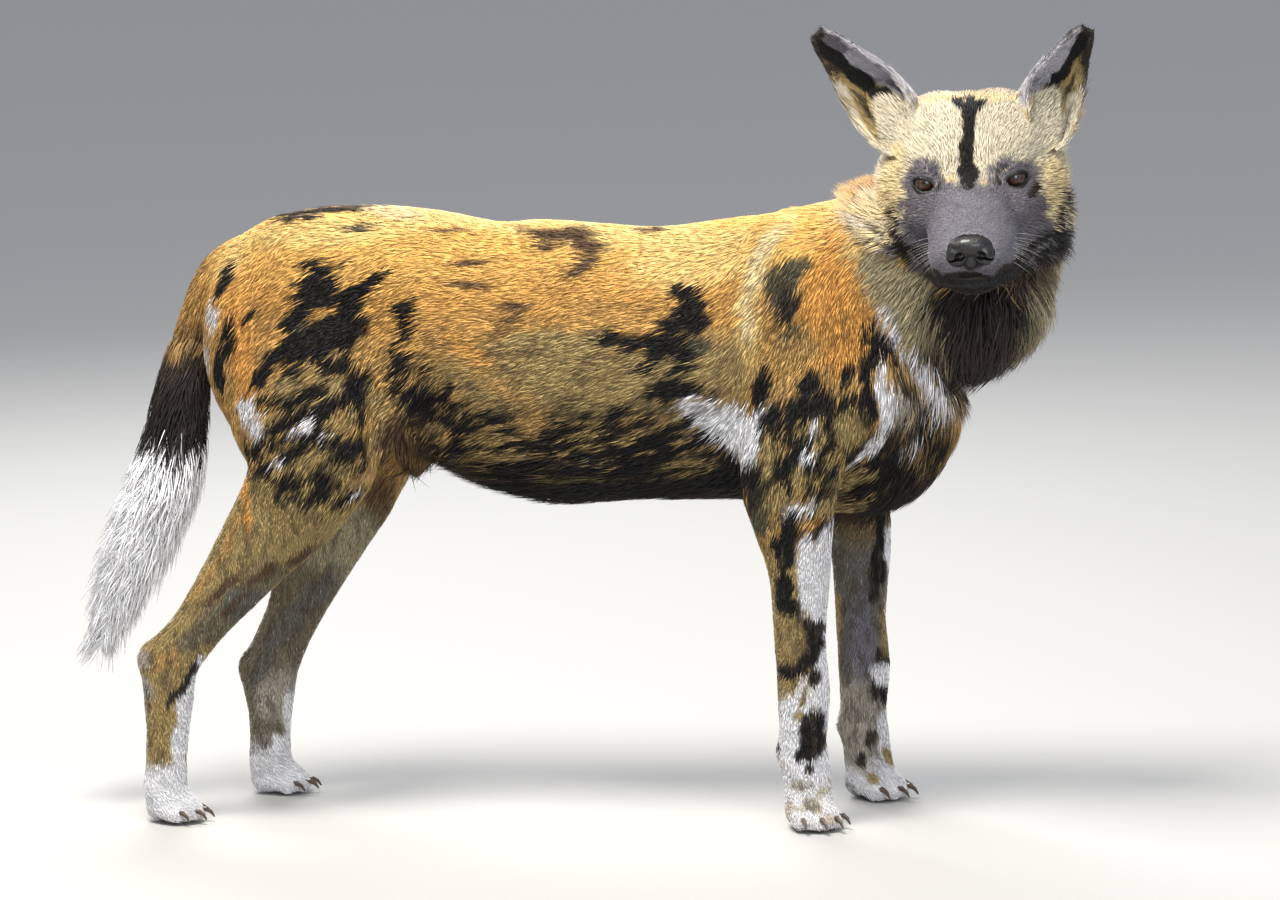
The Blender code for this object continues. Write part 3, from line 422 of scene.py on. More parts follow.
rims = [np.array(lid_line(side)) for side in (-1, 1)]
rim_gap = np.min([span_of(at_head[:, None] - rim[None]).min(1) for rim in rims], 0)
lip_gap = span_of(at_head[:, None] - np.array(mouth_line)[None]).min(1)
bare = unit(1.6 - rim_gap / 0.0030)
bare = np.maximum(bare, 0.9 * unit(1.4 - lip_gap / 0.0021))
freedom = np.where(on_head | on_ear, 0.30, np.where(on_paw, 0.35, 1.0))
freedom = soften(freedom, 6) * (1 - 0.8 * bare)
STEP_IN, STEP_OUT, SMOOTH_ROUNDS = 0.62, 0.64, 26
for _ in range(SMOOTH_ROUNDS):
    co = co + (STEP_IN * freedom)[:, None] * (spread(co) - co)
    co = co - (STEP_OUT * freedom)[:, None] * (spread(co) - co)

muzzle = unit((at_head[:, 0] - 0.005) / 0.035)
depth = np.full(count, 0.0034)
depth[on_neck] = 0.0036
depth[on_leg] = 0.0024
depth[on_paw] = 0.0016
depth[on_ear] = 0.0011
depth = np.where(on_head, 0.0036 - 0.0028 * muzzle, depth)
depth[on_brush] = 0.0010
depth = soften(depth, 12) * (1 - bare) + OVERLAP
normals = corner_normals(co)
co = co - normals * depth[:, None]
normals = corner_normals(co)
mesh.vertices.foreach_set("co", co.ravel())
mesh.update()
at_body = in_frame(BODY, co)
at_head = in_frame(HEAD_IN_ROW, co)
body_x, _, body_z = at_body.T
head_x, head_y, head_z = at_head.T
print("coat depth, mm", round(depth.min() * 1000, 1), "to", round(depth.max() * 1000, 1))

# %% [markdown]
# ## The lie of the coat
# Hair lies from the nose back over the brow, down the neck, back along the barrel and down the legs. A table
# of places and directions is blended by distance, laid flat on the skin and softened, as a groomer combs it.

# %% Comb the coat
BODY_LIE = table("""
    .3 .03 .72 -1 .1 -.15, .2 .04 .69 -1 .1 -.1, .05 .04 .68 -1 0 -.1, -.15 .04 .69 -1 0 -.05,
    -.33 .04 .705 -1 .1 -.1, -.45 .04 .69 -1 .1 -.55, 0 .1 .6 -1 0 -.22, -.18 .09 .6 -1 0 -.12,
    .06 .1 .5 -1 0 -.4, -.1 .09 .48 -1 0 -.4, .08 .08 .4 -1 0 -.35, -.12 .06 .39 -1 0 -.15, 0 0 .37 -1 0 0,
    -.25 .06 .42 -.8 0 -.75, .12 .09 .6 -.75 0 -.7, .2 .09 .62 -.45 0 -.9, .19 .1 .52 -.3 0 -1,
    .25 .1 .56 -.25 0 -1, .3 .07 .56 -.05 0 -1, .16 .11 .44 -.25 0 -1, .13 .1 .38 -.35 0 -.9,
    .34 .04 .48 -.1 0 -1, .34 .03 .4 -.45 0 -.9, .25 .02 .36 -1 0 -.2, -.34 .09 .62 -.95 0 -.35,
    -.42 .09 .62 -.75 0 -.7, -.47 .07 .6 -.45 0 -.9, -.36 .1 .54 -.75 0 -.65, -.43 .1 .5 -.4 0 -.9,
    -.3 .09 .5 -.7 0 -.75, -.36 .1 .44 -.6 0 -.8, -.28 .08 .4 -.55 0 -.8, -.4 .09 .4 -.55 0 -.85,
    -.275 0 .425 -.2 0 -1, -.48 .06 .5 -.25 0 -.95, -.47 .04 .42 -.4 0 -.9, -.34 .04 .42 -.5 0 -.85
""")
NECK_LIE = table("""
    .37 .03 .76 -.8 .3 -.35, .3 -.08 .64 -.7 .2 -.75, .35 -.1 .61 -.5 .1 -.9, .42 -.12 .59 -.1 .12 -1,
    .47 -.06 .61 .05 .25 -1, .44 .03 .68 -.3 .55 -.8, .38 .08 .65 -.65 .3 -.7, .4 -.06 .54 -.2 .15 -1,
    .35 .06 .56 -.4 .1 -.95
""")
HEAD_LIE = table("""
    .1 0 -.03 -1 0 .3, .07 0 -.01 -1 0 .25, .03 0 .01 -.8 0 .6, 0 .01 .05 -.45 .15 .85,
    -.04 .015 .095 -.8 .2 .4, -.01 .05 .045 -.5 .6 .7, -.03 .07 .06 -.8 .55 .5, .08 .04 -.06 -.95 .3 -.2,
    .05 .05 -.05 -.95 .3 -.15, .02 .055 -.04 -.85 .5 -.1, 0 .07 -.02 -.75 .65 -.1,
    -.02 .095 -.02 -.95 .25 -.25, -.01 .08 -.06 -.8 .45 -.5, -.06 .1 -.06 -.9 .1 -.5, -.06 .09 .02 -1 .1 .1,
    .1 0 -.092 -.25 0 -1, .08 .02 -.095 -.45 .2 -.9, .02 .03 -.11 -.9 .1 -.35, -.04 .03 -.115 -.6 .1 -.8,
    -.11 .04 .05 -.8 .1 -.4, .01 .03 0 -.6 -.35 .6, .006 .045 -.022 -.5 .7 -.6
""")


def combed(points, guides, both_sides):
    """Directions at points, each guide weighted by its nearness."""
    places, ways = np.split(np.array(guides), 2, axis=1)
    if both_sides:
        mirror = np.array((1, -1, 1))
        places = np.vstack((places, places * mirror))
        ways = np.vstack((ways, ways * mirror))
    ways /= span_of(ways)[:, None]
    found = np.zeros_like(points)
    for place, way in zip(places, ways):
        found += way / (((points - place) ** 2).sum(1) + 0.0002)[:, None] ** 2.2
    return found / span_of(found)[:, None]


turn_head = np.array(HEAD_IN_ROW.to_3x3())
lie = combed(at_body, BODY_LIE, True)
lie[on_neck] = combed(at_body[on_neck], NECK_LIE + BODY_LIE[:2], False)
lie[on_head] = combed(at_head[on_head], HEAD_LIE, True) @ turn_head.T
for name, (root, tip, _) in EARS.items():
    own = is_part(label, name)
    lie[own] = np.array(HEAD_IN_ROW.to_3x3() @ (tip - root).normalized())
lie[on_leg] = (-0.10, 0.0, -1.0)
lie[is_part(label, "hind_foot")] = (0.10, 0.0, -1.0)
for prefix, turns in (("paw_fore", (-22, -50)), ("paw_hind", (4, -14))):
    for side, turn in zip(SIDES, turns):
        own = is_part(label, f"{prefix}_{side}")
        lie[own] = (math.cos(math.radians(turn)), math.sin(math.radians(turn)), -0.8)
tail_line = np.array(smooth_rows([row[:3] for row in TAIL_ROWS], 4))
steps = np.gradient(tail_line, axis=0)
nearest = np.abs(at_body[on_tail][:, None, 2] - tail_line[None, :, 2]).argmin(1)
lie[on_tail] = steps[nearest] / span_of(steps[nearest])[:, None]


def laid(directions, surface):
    flat = directions - surface * (directions * surface).sum(1, keepdims=True)
    return flat / np.maximum(span_of(flat), 1e-9)[:, None]


lie = soften(laid(lie, normals), 8)
lie = laid(lie, normals)
print("combed", count, "places")

# %% [markdown]
# ## A flat map of the skin
# Baked colours need a flat map. The skin is unwrapped by its own shape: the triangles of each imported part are
# laid flat along the axis that they face most, and these charts are packed in rows on one sheet. A tuft later
# takes the place of its root on this sheet.

# %% Unwrap the skin
SHEET_MARGIN = 0.003  # room round each chart, in metres


def unwrap(places):
    """A chart for each triangle and the chart's place on the sheet: (chart number, chart table, scale)."""
    a, b, c = (places[triangles[:, k]] for k in range(3))
    facing = np.cross(b - a, c - a)
    axis = np.abs(facing).argmax(1)
    sign = facing[np.arange(len(facing)), axis] > 0
    chart = label[triangles[:, 0]] * 6 + axis * 2 + sign
    rows = []
    for number in np.unique(chart):
        flat = [k for k in range(3) if k != (number % 6) // 2]
        own = places[triangles[chart == number].ravel()][:, flat]
        rows.append([number, flat, own.min(0) - SHEET_MARGIN, own.max(0) + SHEET_MARGIN])
    rows.sort(key=lambda row: -(row[3] - row[2])[1])
    sheet = math.sqrt(sum(np.prod(high - low) for _, _, low, high in rows)) * 1.12
    offsets, across, up, tall = {}, 0.0, 0.0, 0.0
    for number, flat, low, high in rows:
        wide, own_height = high - low
        if across + wide > sheet:
            across, up, tall = 0.0, up + tall, 0.0
        offsets[number] = (flat, low - np.array((across, up)))
        across += wide
        tall = max(tall, own_height)
    return chart, offsets, 1.0 / max(sheet, up + tall)


chart, chart_offsets, sheet_scale = unwrap(co)


def on_sheet(places, charts):
    found = np.zeros((len(places), 2))
    for number, (flat, offset) in chart_offsets.items():
        own = charts == number
        found[own] = (places[own][:, flat] - offset) * sheet_scale
    return found


layer = mesh.uv_layers.new(name="OFBake")
layer.data.foreach_set("uv", on_sheet(co[triangles.ravel()], np.repeat(chart, 3)).ravel())
print("charts", len(chart_offsets), "sheet", round(1 / sheet_scale, 2), "m")

# %% [markdown]
# ## The markings
# No two wild dogs are marked alike. This one is golden along the back and tan on the flank, with a chain of
# black behind the shoulder, a mottled thigh and belly, white splashes, a dark mask and a white brush.
# A maker would paint these by eye on a plaster body: a ground colour for each part, then named patches with
# ragged edges. The same is done here in numbers. Patches on the right flank and the face are given on a side
# chart: the body seen from its right and a little above, a unit being about 1.15 mm. The left flank has
# patches of its own, on the same chart seen in a mirror.

# %% Coat colours
def linear(code):
    """A colour written as sRGB hex, as linear light."""
    parts = [int(code[k:k + 2], 16) / 255 for k in (0, 2, 4)]
    return tuple(v / 12.92 if v <= 0.04045 else ((v + 0.055) / 1.055) ** 2.4 for v in parts)


COAT = {
    "gold": "EFBF6C", "pale gold": "F3CF86", "cream": "CFC5AE", "straw": "E3CE9E", "ochre": "D19E55",
    "orange": "D99F52", "tan": "B7935A", "dun": "A58F5E", "fawn": "A89D7E", "fleck": "A58A58",
    "brown": "5F4934", "sheath": "4C3829", "umber": "4A4033", "moss": "59533F", "olive": "7C7159",
    "ash": "6C6961", "slate": "6A666B", "smoke": "75727A", "grey": "A4A1A6", "stone": "A9A294",
    "white": "E6E5E8", "dark": "2E2722", "mottle": "17130F", "black": "141211",
}
TONE = {name: np.array(linear(code)) for name, code in COAT.items()}
CELLS = 32  # the noise repeats after this many swells
lattice = rng.random((CELLS, CELLS, CELLS))


def noise(points, size):
    """Smooth noise from 0 to 1 at points, with swells of about the given size."""
    place = points / np.array(size) + 100.0
    cell = np.floor(place).astype(int)
    part = place - cell
    part = part * part * (3 - 2 * part)
    total = np.zeros(len(points))
    for corner in np.ndindex(2, 2, 2):
        weight = np.prod(np.where(corner, part, 1 - part), axis=1)
        total += weight * lattice[tuple((cell + corner).T % CELLS)]
    return total


# The viewer of the side chart, and of the final picture: how far they stand, and what width they see there.
AZIMUTH, HEIGHT, ROLL = math.radians(10), math.radians(8), math.radians(1.5)
FAR, SEEN_WIDTH = 7.0, 1.472
CHART_WIDE, CHART_HIGH = 1280, 900
MIDDLE = np.array((0.0, 0.0, 0.422))
level = np.array((math.cos(AZIMUTH), math.sin(AZIMUTH), 0.0))
flat_back = math.cos(HEIGHT)
BACK = np.array((math.sin(AZIMUTH) * flat_back, -math.cos(AZIMUTH) * flat_back, math.sin(HEIGHT)))
raised = np.cross(BACK, level)
ACROSS = level * math.cos(ROLL) - raised * math.sin(ROLL)
ABOVE = level * math.sin(ROLL) + raised * math.cos(ROLL)


def side_chart(points):
    """Where points of the body's frame fall on the side chart."""
    away = points - MIDDLE
    size = CHART_WIDE * FAR / SEEN_WIDTH / (FAR - away @ BACK)
    return np.stack((CHART_WIDE / 2 + size * (away @ ACROSS), CHART_HIGH / 2 - size * (away @ ABOVE)), 1)


def patches(text):
    """Patches in the order that they are laid: a colour, then rows of across, down, half length, half height
    and turn in degrees, which is 0 where it is left out."""
    entries = [entry.split(":") for entry in text.split(";")]
    return [(tone.strip(), [(*row, 0.0)[:5] for row in table(rows)]) for tone, rows in entries]


RIGHT_SIDE = patches("""
mottle: 322 396 50 64, 310 470 52 52, 330 330 34 34, 600 425 170 34, 700 440 60 34, 826 410 42 26,
    812 455 44 44, 840 492 40 26;
pale gold: 330 232 90 14 -3, 232 262 12 26 35, 470 222 90 10 3, 640 236 120 16 3, 700 262 70 22 -12,
    850 228 40 16 -18, 400 212 40 9 3;
pale gold: 778 230 30 10 -32, 757 266 14 28 12, 750 312 12 34, 747 352 10 26 -5, 862 212 22 12 -20,
    848 238 28 9 15;
straw: 395 214 30 7 5, 770 240 20 8 -40, 756 270 9 26 12, 749 316 7 30;
dark: 306 213 32 8 -12, 350 210 24 4 -6;
moss: 367 208 18 3 -4, 360 229 16 3 -8;
brown: 547 235 24 7 5, 580 236 18 8 5, 546 248 16 5, 590 250 18 8, 586 264 13 8 -30, 575 273 10 4 -25,
    655 233 18 3, 516 306 16 5, 468 286 24 4 4, 512 318 14 3, 600 352 11 4, 545 362 14 4, 722 350 14 9,
    587 356 12 6, 555 398 20 5 -20, 452 232 18 3 3, 470 264 18 3;
dun: 580 380 150 30, 700 370 60 34, 560 345 60 16;
tan: 490 378 60 9 37, 530 412 14 18 -20;
ochre: 245 362 11 44 -8, 290 300 40 12 10, 470 350 30 8 38;
orange: 835 292 30 58, 850 345 20 36 10, 815 330 20 40, 240 340 12 60 -8;
black: 325 267 22 8, 318 285 22 11, 330 300 30 8 4, 358 292 16 9 -25, 374 279 14 5 -30, 352 309 15 6 -36,
    303 308 11 11, 300 326 18 13, 320 325 12 9, 290 345 18 8 -22, 306 352 20 8, 275 356 14 6 -35,
    334 352 20 8, 318 366 18 5, 262 378 14 7 -48, 300 374 18 6, 350 370 18 7 10, 360 386 16 11,
    338 398 16 8 -30, 296 402 34 8, 330 430 32 9 -18, 270 428 14 8, 300 450 50 12, 345 445 22 12,
    300 480 44 12, 330 500 34 9 -10, 275 505 18 10, 226 278 5 18 32, 229 338 5 20, 222 372 6 22 -8,
    405 328 8 22, 400 372 9 36, 412 404 14 22, 440 420 30 13 42, 480 452 40 14 22, 436 394 30 16 50,
    404 312 14 10 -20, 488 430 56 14 38, 255 312 14 5 -40, 300 519 12 6;
fleck: 322 455 60 66, 330 385 44 30, 640 420 140 34, 650 455 130 22;
black: 690 293 17 11 10, 700 307 12 11, 685 312 20 9, 671 325 17 7 -10, 696 325 13 9, 664 340 20 8,
    650 346 12 12, 618 338 17 7, 632 346 13 5, 655 357 13 11, 683 352 14 11, 645 369 10 6, 684 368 12 6,
    675 381 18 9, 664 394 16 9, 694 393 24 6, 620 414 10 8, 690 452 60 12, 620 466 70 12, 540 466 50 12 10,
    720 478 60 10, 600 482 130 11;
dun: 285 388 17 9 -10, 336 388 9 8, 345 419 12 7 -40, 378 405 9 22 -20, 318 452 12 5, 303 468 14 6 10,
    340 470 10 5, 337 492 8 5, 268 488 10 8, 322 508 12 4, 292 508 10 5, 375 440 8 16, 300 490 14 4 -20;
white: 212 314 5 14 -6, 206 352 3 10 -8, 250 412 10 13 -22, 257 427 8 10, 309 423 5 6 -20, 300 431 13 3 -6,
    279 463 5 6 -35, 326 437 6 2 20, 355 496 7 2 -32, 725 424 36 17 24, 703 413 26 9 22, 745 446 13 17,
    756 432 8 26 14;
moss: 302 327 7 4 30;
sheath: 404 440 26 24;
moss: 783 278 17 17 -30, 797 264 18 6, 778 296 10 16, 792 338 16 10 -30, 700 345 10 8;
dark: 791 300 12 11 -40, 787 318 6 8;
tan: 880 268 24 14 20, 903 300 20 26 -30, 800 352 22 16, 790 385 12 16, 850 395 18 14;
black: 872 332 9 10, 880 345 11 13, 866 368 9 14 12, 870 398 7 22, 812 383 11 12, 790 408 32 9,
    822 406 24 7, 852 402 12 8, 796 430 26 14, 836 446 30 8, 770 440 10 40, 860 425 7 22 12, 785 470 16 34,
    824 462 32 8, 762 388 9 20 20, 838 490 15 6, 862 474 15 8, 810 490 14 14, 880 470 22 18, 878 505 26 20,
    905 432 15 12, 926 444 26 26, 905 460 26 20, 848 375 6 12 30;
fleck: 832 440 40 30, 815 490 44 30, 850 470 24 30, 788 452 14 40;
dun: 850 424 15 11, 848 440 12 7, 801 431 7 6, 850 480 20 7 -10, 838 506 28 8, 820 440 8 5, 775 498 13 11,
    768 455 5 22, 800 478 7 9;
stone: 905 402 14 20;
dark: 908 390 5 12 -30, 906 436 16 10, 922 410 12 5 -20, 890 440 6 12 20;
white: 809 456 8 6, 813 429 4 8 20, 798 509 18 4 -14, 890 326 6 22 -22, 904 350 7 24 -28, 922 376 8 24 -34,
    936 397 6 10 -20, 882 384 6 24 -4, 888 414 9 18 10, 874 446 12 6 -35, 860 456 11 4 -28,
    942 411 22 5 -14, 957 403 9 6 -30, 910 447 12 3 -22;
dark: 893 366 4 9 -20;
moss: 760 520 8 15 -20
""")
FORE_RIGHT = patches("""
ash: 772 690 6 40;
black: 788 526 12 12, 785 552 11 26, 786 588 9 26, 790 606 14 9, 808 522 18 13, 762 585 4 14;
ochre: 808 522 9 7;
white: 829 552 8 38 8, 815 576 19 44, 820 660 9 60, 805 742 34 64;
black: 812 626 16 7 12, 800 636 16 8, 812 650 8 16 30, 800 664 12 8 -20, 790 672 14 7, 814 676 6 8,
    814 734 12 22 6, 806 752 9 9, 776 722 4 28, 808 769 4 5;
dun: 790 645 14 18, 804 697 4 12 20, 800 717 4 5;
stone: 800 786 12 6, 812 806 8 6
""")
FORE_LEFT = patches("""
smoke: 862 640 12 60;
stone: 858 725 30 44;
black: 880 548 5 40, 874 580 5 26, 884 656 9 11, 888 700 6 24 -10, 874 688 5 10;
dun: 885 622 6 32, 838 650 4 50;
white: 882 673 14 10 20, 887 548 3 22, 886 738 8 26 -8, 900 788 14 24 -30;
dark: 870 738 5 9 30, 862 762 5 6;
dun: 888 757 4 10 -20, 872 778 8 4 30
""")
HIND_RIGHT = patches("""
dun: 285 545 44 24 -20, 250 560 30 20 -30;
olive: 262 588 34 22 -40, 215 622 30 15 -45, 245 624 18 22 -40, 190 640 20 8 -40;
ash: 238 604 20 12 -42, 262 600 10 12 -40;
brown: 224 588 30 4 -40, 262 572 24 4 -30, 300 556 26 4 -30, 232 606 18 3 -44;
orange: 247 500 4 40 -4;
tan: 232 532 4 36 22, 212 573 4 32 36, 166 660 14 10 -30;
stone: 140 660 10 10, 148 690 6 10;
white: 204 668 12 16 30, 192 700 12 30 14, 184 735 12 36 4, 172 790 44 24;
dark: 192 668 3 14 30, 183 688 4 9 36, 170 702 3 12 24, 174 693 8 3 -30
""")
HIND_LEFT = patches("""
tan: 385 480 26 26 -40, 240 718 5 26;
brown: 380 500 16 24;
fawn: 345 550 40 50 -40, 318 590 20 20 -40;
olive: 300 600 40 30 -40, 258 660 18 46 30;
ash: 300 610 12 60 42, 262 668 8 26 30;
cream: 232 652 4 26 30;
stone: 285 700 14 30, 268 700 10 20;
white: 286 755 16 22 -8, 288 712 6 24, 250 762 8 8, 290 790 50 20
""")
# In FACE the second dark row, just under the nose, is painted shade under the overhang of the upper lip.
FACE = patches("""
cream: 968 130 90 50, 1048 160 24 60, 902 160 20 60;
stone: 890 212 5 24, 1060 205 5 26;
straw: 893 196 12 30, 1052 190 14 34, 968 100 60 5, 898 160 10 16;
slate: 924 184 20 22, 920 207 15 24, 1012 181 26 23, 1026 208 18 30, 932 232 32 30, 942 198 16 18,
    996 196 18 18, 968 198 30 16, 938 210 20 16, 1008 206 20 16, 1012 228 36 30, 968 208 30 26,
    968 226 38 30, 925 262 36 24 20, 1010 258 38 22 -20;
smoke: 970 216 34 34, 972 236 50 24, 932 248 26 24, 1010 244 26 22;
black: 970 117 7 15 4, 960 106 9 4 28, 980 106 8 4 -28, 969 136 5 14, 967 156 6 14, 968 176 8 13;
dark: 934 186 7 6 30, 1000 176 5 9 20, 1032 190 6 9;
dark: 968 277 26 5, 930 274 18 6 24, 1014 268 22 7 -28;
black: 968 296 40 9, 897 230 3 24 -8, 905 252 4 14 -30, 916 270 15 5 32, 1058 216 3 26 4,
    1053 238 2.5 13 22, 1039 254 11 4 -44, 1020 277 20 4 -30, 938 288 22 6 16;
straw: 1074 216 6 36 4, 878 236 7 40 -4
""")
EAR_RIGHT = patches("""
dun: 862 104 42 22 38, 884 128 22 18 30;
umber: 868 112 18 2.5 42, 878 124 14 2 50, 858 96 12 2.5 36;
cream: 860 130 26 6 52, 888 148 12 8, 906 114 9 8;
stone: 843 92 14 5 52, 853 112 12 5 55;
grey: 868 62 68 12 31, 905 90 18 12 30;
black: 833 54 22 7 44, 858 78 26 7 38, 884 99 16 8 42, 894 110 8 5 40;
slate: 834 42 16 6 32;
dark: 815 31 10 9 30
""")
EAR_LEFT = patches("""
dun: 1066 88 12 40 14, 1058 116 16 20;
umber: 1062 100 2.5 16 20, 1070 84 2 14 16;
cream: 1074 108 8 22 18, 1060 138 14 16, 1036 108 12 8;
grey: 1052 64 56 10 -46, 1028 92 16 10 -36;
black: 1080 44 5 18 26, 1062 72 5 18 36, 1048 92 5 9 30;
dark: 1088 28 8 9
""")
THROAT = patches("""
pale gold: 862 226 26 26, 858 250 12 12;
straw: 868 206 18 12, 880 232 9 22;
umber: 980 350 80 70;
dark: 975 340 46 44, 950 330 30 40 -20, 1000 330 24 34, 975 300 56 20;
black: 970 308 40 14, 990 392 50 10, 955 375 22 10 20;
fawn: 878 262 18 22, 888 286 26 26 -20, 908 316 15 30 -28, 920 274 16 26, 1060 270 16 50, 1050 310 20 40 10;
stone: 1056 330 10 24 10, 1064 256 9 34, 1072 300 10 40 8;
olive: 930 325 9 24 -28, 1026 340 12 26 20, 945 352 8 14 -30;
white: 890 326 6 22 -22, 904 350 7 24 -28, 922 376 8 24 -34, 936 397 6 10 -20
""")
LEFT_SIDE = patches("""
pale gold: 330 230 120 14 -3, 560 226 160 13 3, 850 236 60 18 -14;
straw: 762 270 12 34 10, 420 214 40 6 4;
mottle: 318 430 54 60, 610 425 170 34, 810 440 50 44;
brown: 430 232 26 8 4, 452 246 22 7, 640 244 22 8, 622 258 16 6, 520 330 22 5, 560 352 18 4;
dun: 560 385 150 26, 700 370 50 26, 440 310 40 20;
orange: 828 300 34 60, 250 362 11 44 -8;
black: 540 290 22 10 8, 562 303 14 14, 548 318 12 16, 590 322 26 8 20, 612 340 14 12, 640 372 24 10 10,
    660 392 18 11, 600 402 14 8, 700 330 16 9 -30, 712 346 12 12, 600 440 60 15, 690 452 60 16,
    560 466 80 16, 650 480 120 12, 480 430 40 24 -20;
black: 290 262 20 9 -20, 306 280 14 13, 318 300 10 18, 340 296 28 9 20, 362 318 13 12, 328 332 22 9,
    280 322 15 12, 266 346 12 16, 300 366 28 9 -10, 352 362 20 10, 326 392 10 24 20, 290 410 30 9 8,
    350 420 26 9 -20, 318 440 12 22, 300 452 34 9, 290 482 30 12, 340 486 24 12, 404 350 10 44,
    420 410 20 26;
fleck: 316 440 60 66, 640 430 140 34, 815 450 50 50;
white: 272 388 9 12 -20, 330 346 9 5 10, 346 446 12 4 -20, 650 420 30 12 20, 668 436 16 10,
    720 404 12 16 10, 300 494 8 5;
moss: 786 300 16 24 -20, 802 270 14 7;
black: 800 380 24 10 20, 832 402 22 9, 790 424 22 16, 850 440 22 9, 776 460 12 36, 826 470 30 10,
    872 400 9 36, 800 496 16 12, 880 470 26 40, 905 440 30 30;
white: 846 424 14 7 -20, 812 448 7 10, 898 380 9 34 -14, 884 430 10 20 10, 838 516 14 5
""")
LEG_LEFT_FAR = patches("""
ochre: 300 560 26 60 40, 270 640 10 40 40, 806 600 12 60;
ash: 790 640 14 70;
olive: 345 590 22 60 40, 300 650 14 40 30;
ash: 330 640 12 40 40, 285 690 10 26;
tan: 780 560 14 60, 150 720 14 50;
black: 800 540 16 14, 788 590 10 20, 812 640 16 10, 796 660 12 14, 820 706 10 16, 186 690 6 22 20,
    240 570 26 8 -30;
white: 824 570 10 44, 800 690 14 14, 806 750 36 46, 184 730 14 50 4, 172 790 60 26
""")
print("patches", sum(len(spots) for side in (RIGHT_SIDE, LEFT_SIDE, FACE, THROAT) for _, spots in side))

# %% Lay patches
CRISP = ("black", "dark", "white", "mottle", "fleck", "moss", "slate", "cream")  # the others fade out softly
# How steeply a patch breaks up towards its edge, and the noise that it takes
ISLANDS = {"black": (0.55, 0.36), "mottle": (0.25, 0.42), "fleck": (0.10, -0.39)}


def lay_patches(colour, chart_places, rough, own, patch_list, islands=None):
    """Lays patches over colour where own is above 0. rough frays their edges, islands breaks them up."""
    for tone, spots in patch_list:
        reach_out, ramp = (1.12, 0.20) if tone in CRISP else (1.30, 0.60)
        if tone == "black":
            reach_out = 1.26
        for across, down, long, high, turn in spots:
            reach = max(long, high) * 1.7
            close = np.flatnonzero((own > 0) & (np.abs(chart_places - (across, down)).max(1) < reach))
            if len(close) == 0:
                continue
            away = chart_places[close] - (across, down)
            angle = math.radians(turn)
            u = (away[:, 0] * math.cos(angle) + away[:, 1] * math.sin(angle)) / long
            v = (away[:, 1] * math.cos(angle) - away[:, 0] * math.sin(angle)) / high
            edge = np.sqrt(u * u + v * v) + rough[close]
            share = unit((reach_out - edge) / ramp) * own[close]
            if islands is not None and tone in ISLANDS:
                steep, gate = ISLANDS[tone]
                swell = islands[close] * (-1 if tone == "fleck" else 1)
                share = share * unit((swell + steep * (1 - edge) - gate) / 0.08)
            colour[close] += (TONE[tone] - colour[close]) * share[:, None]


def gap_to(points, own, places):
    """Distance of own points to the nearest of some places, and 1 for the others."""
    gap = np.ones(len(points))
    if own.any():
        gap[own] = np.min([span_of(points[own] - np.array(p)) for p in places], 0)
    return gap


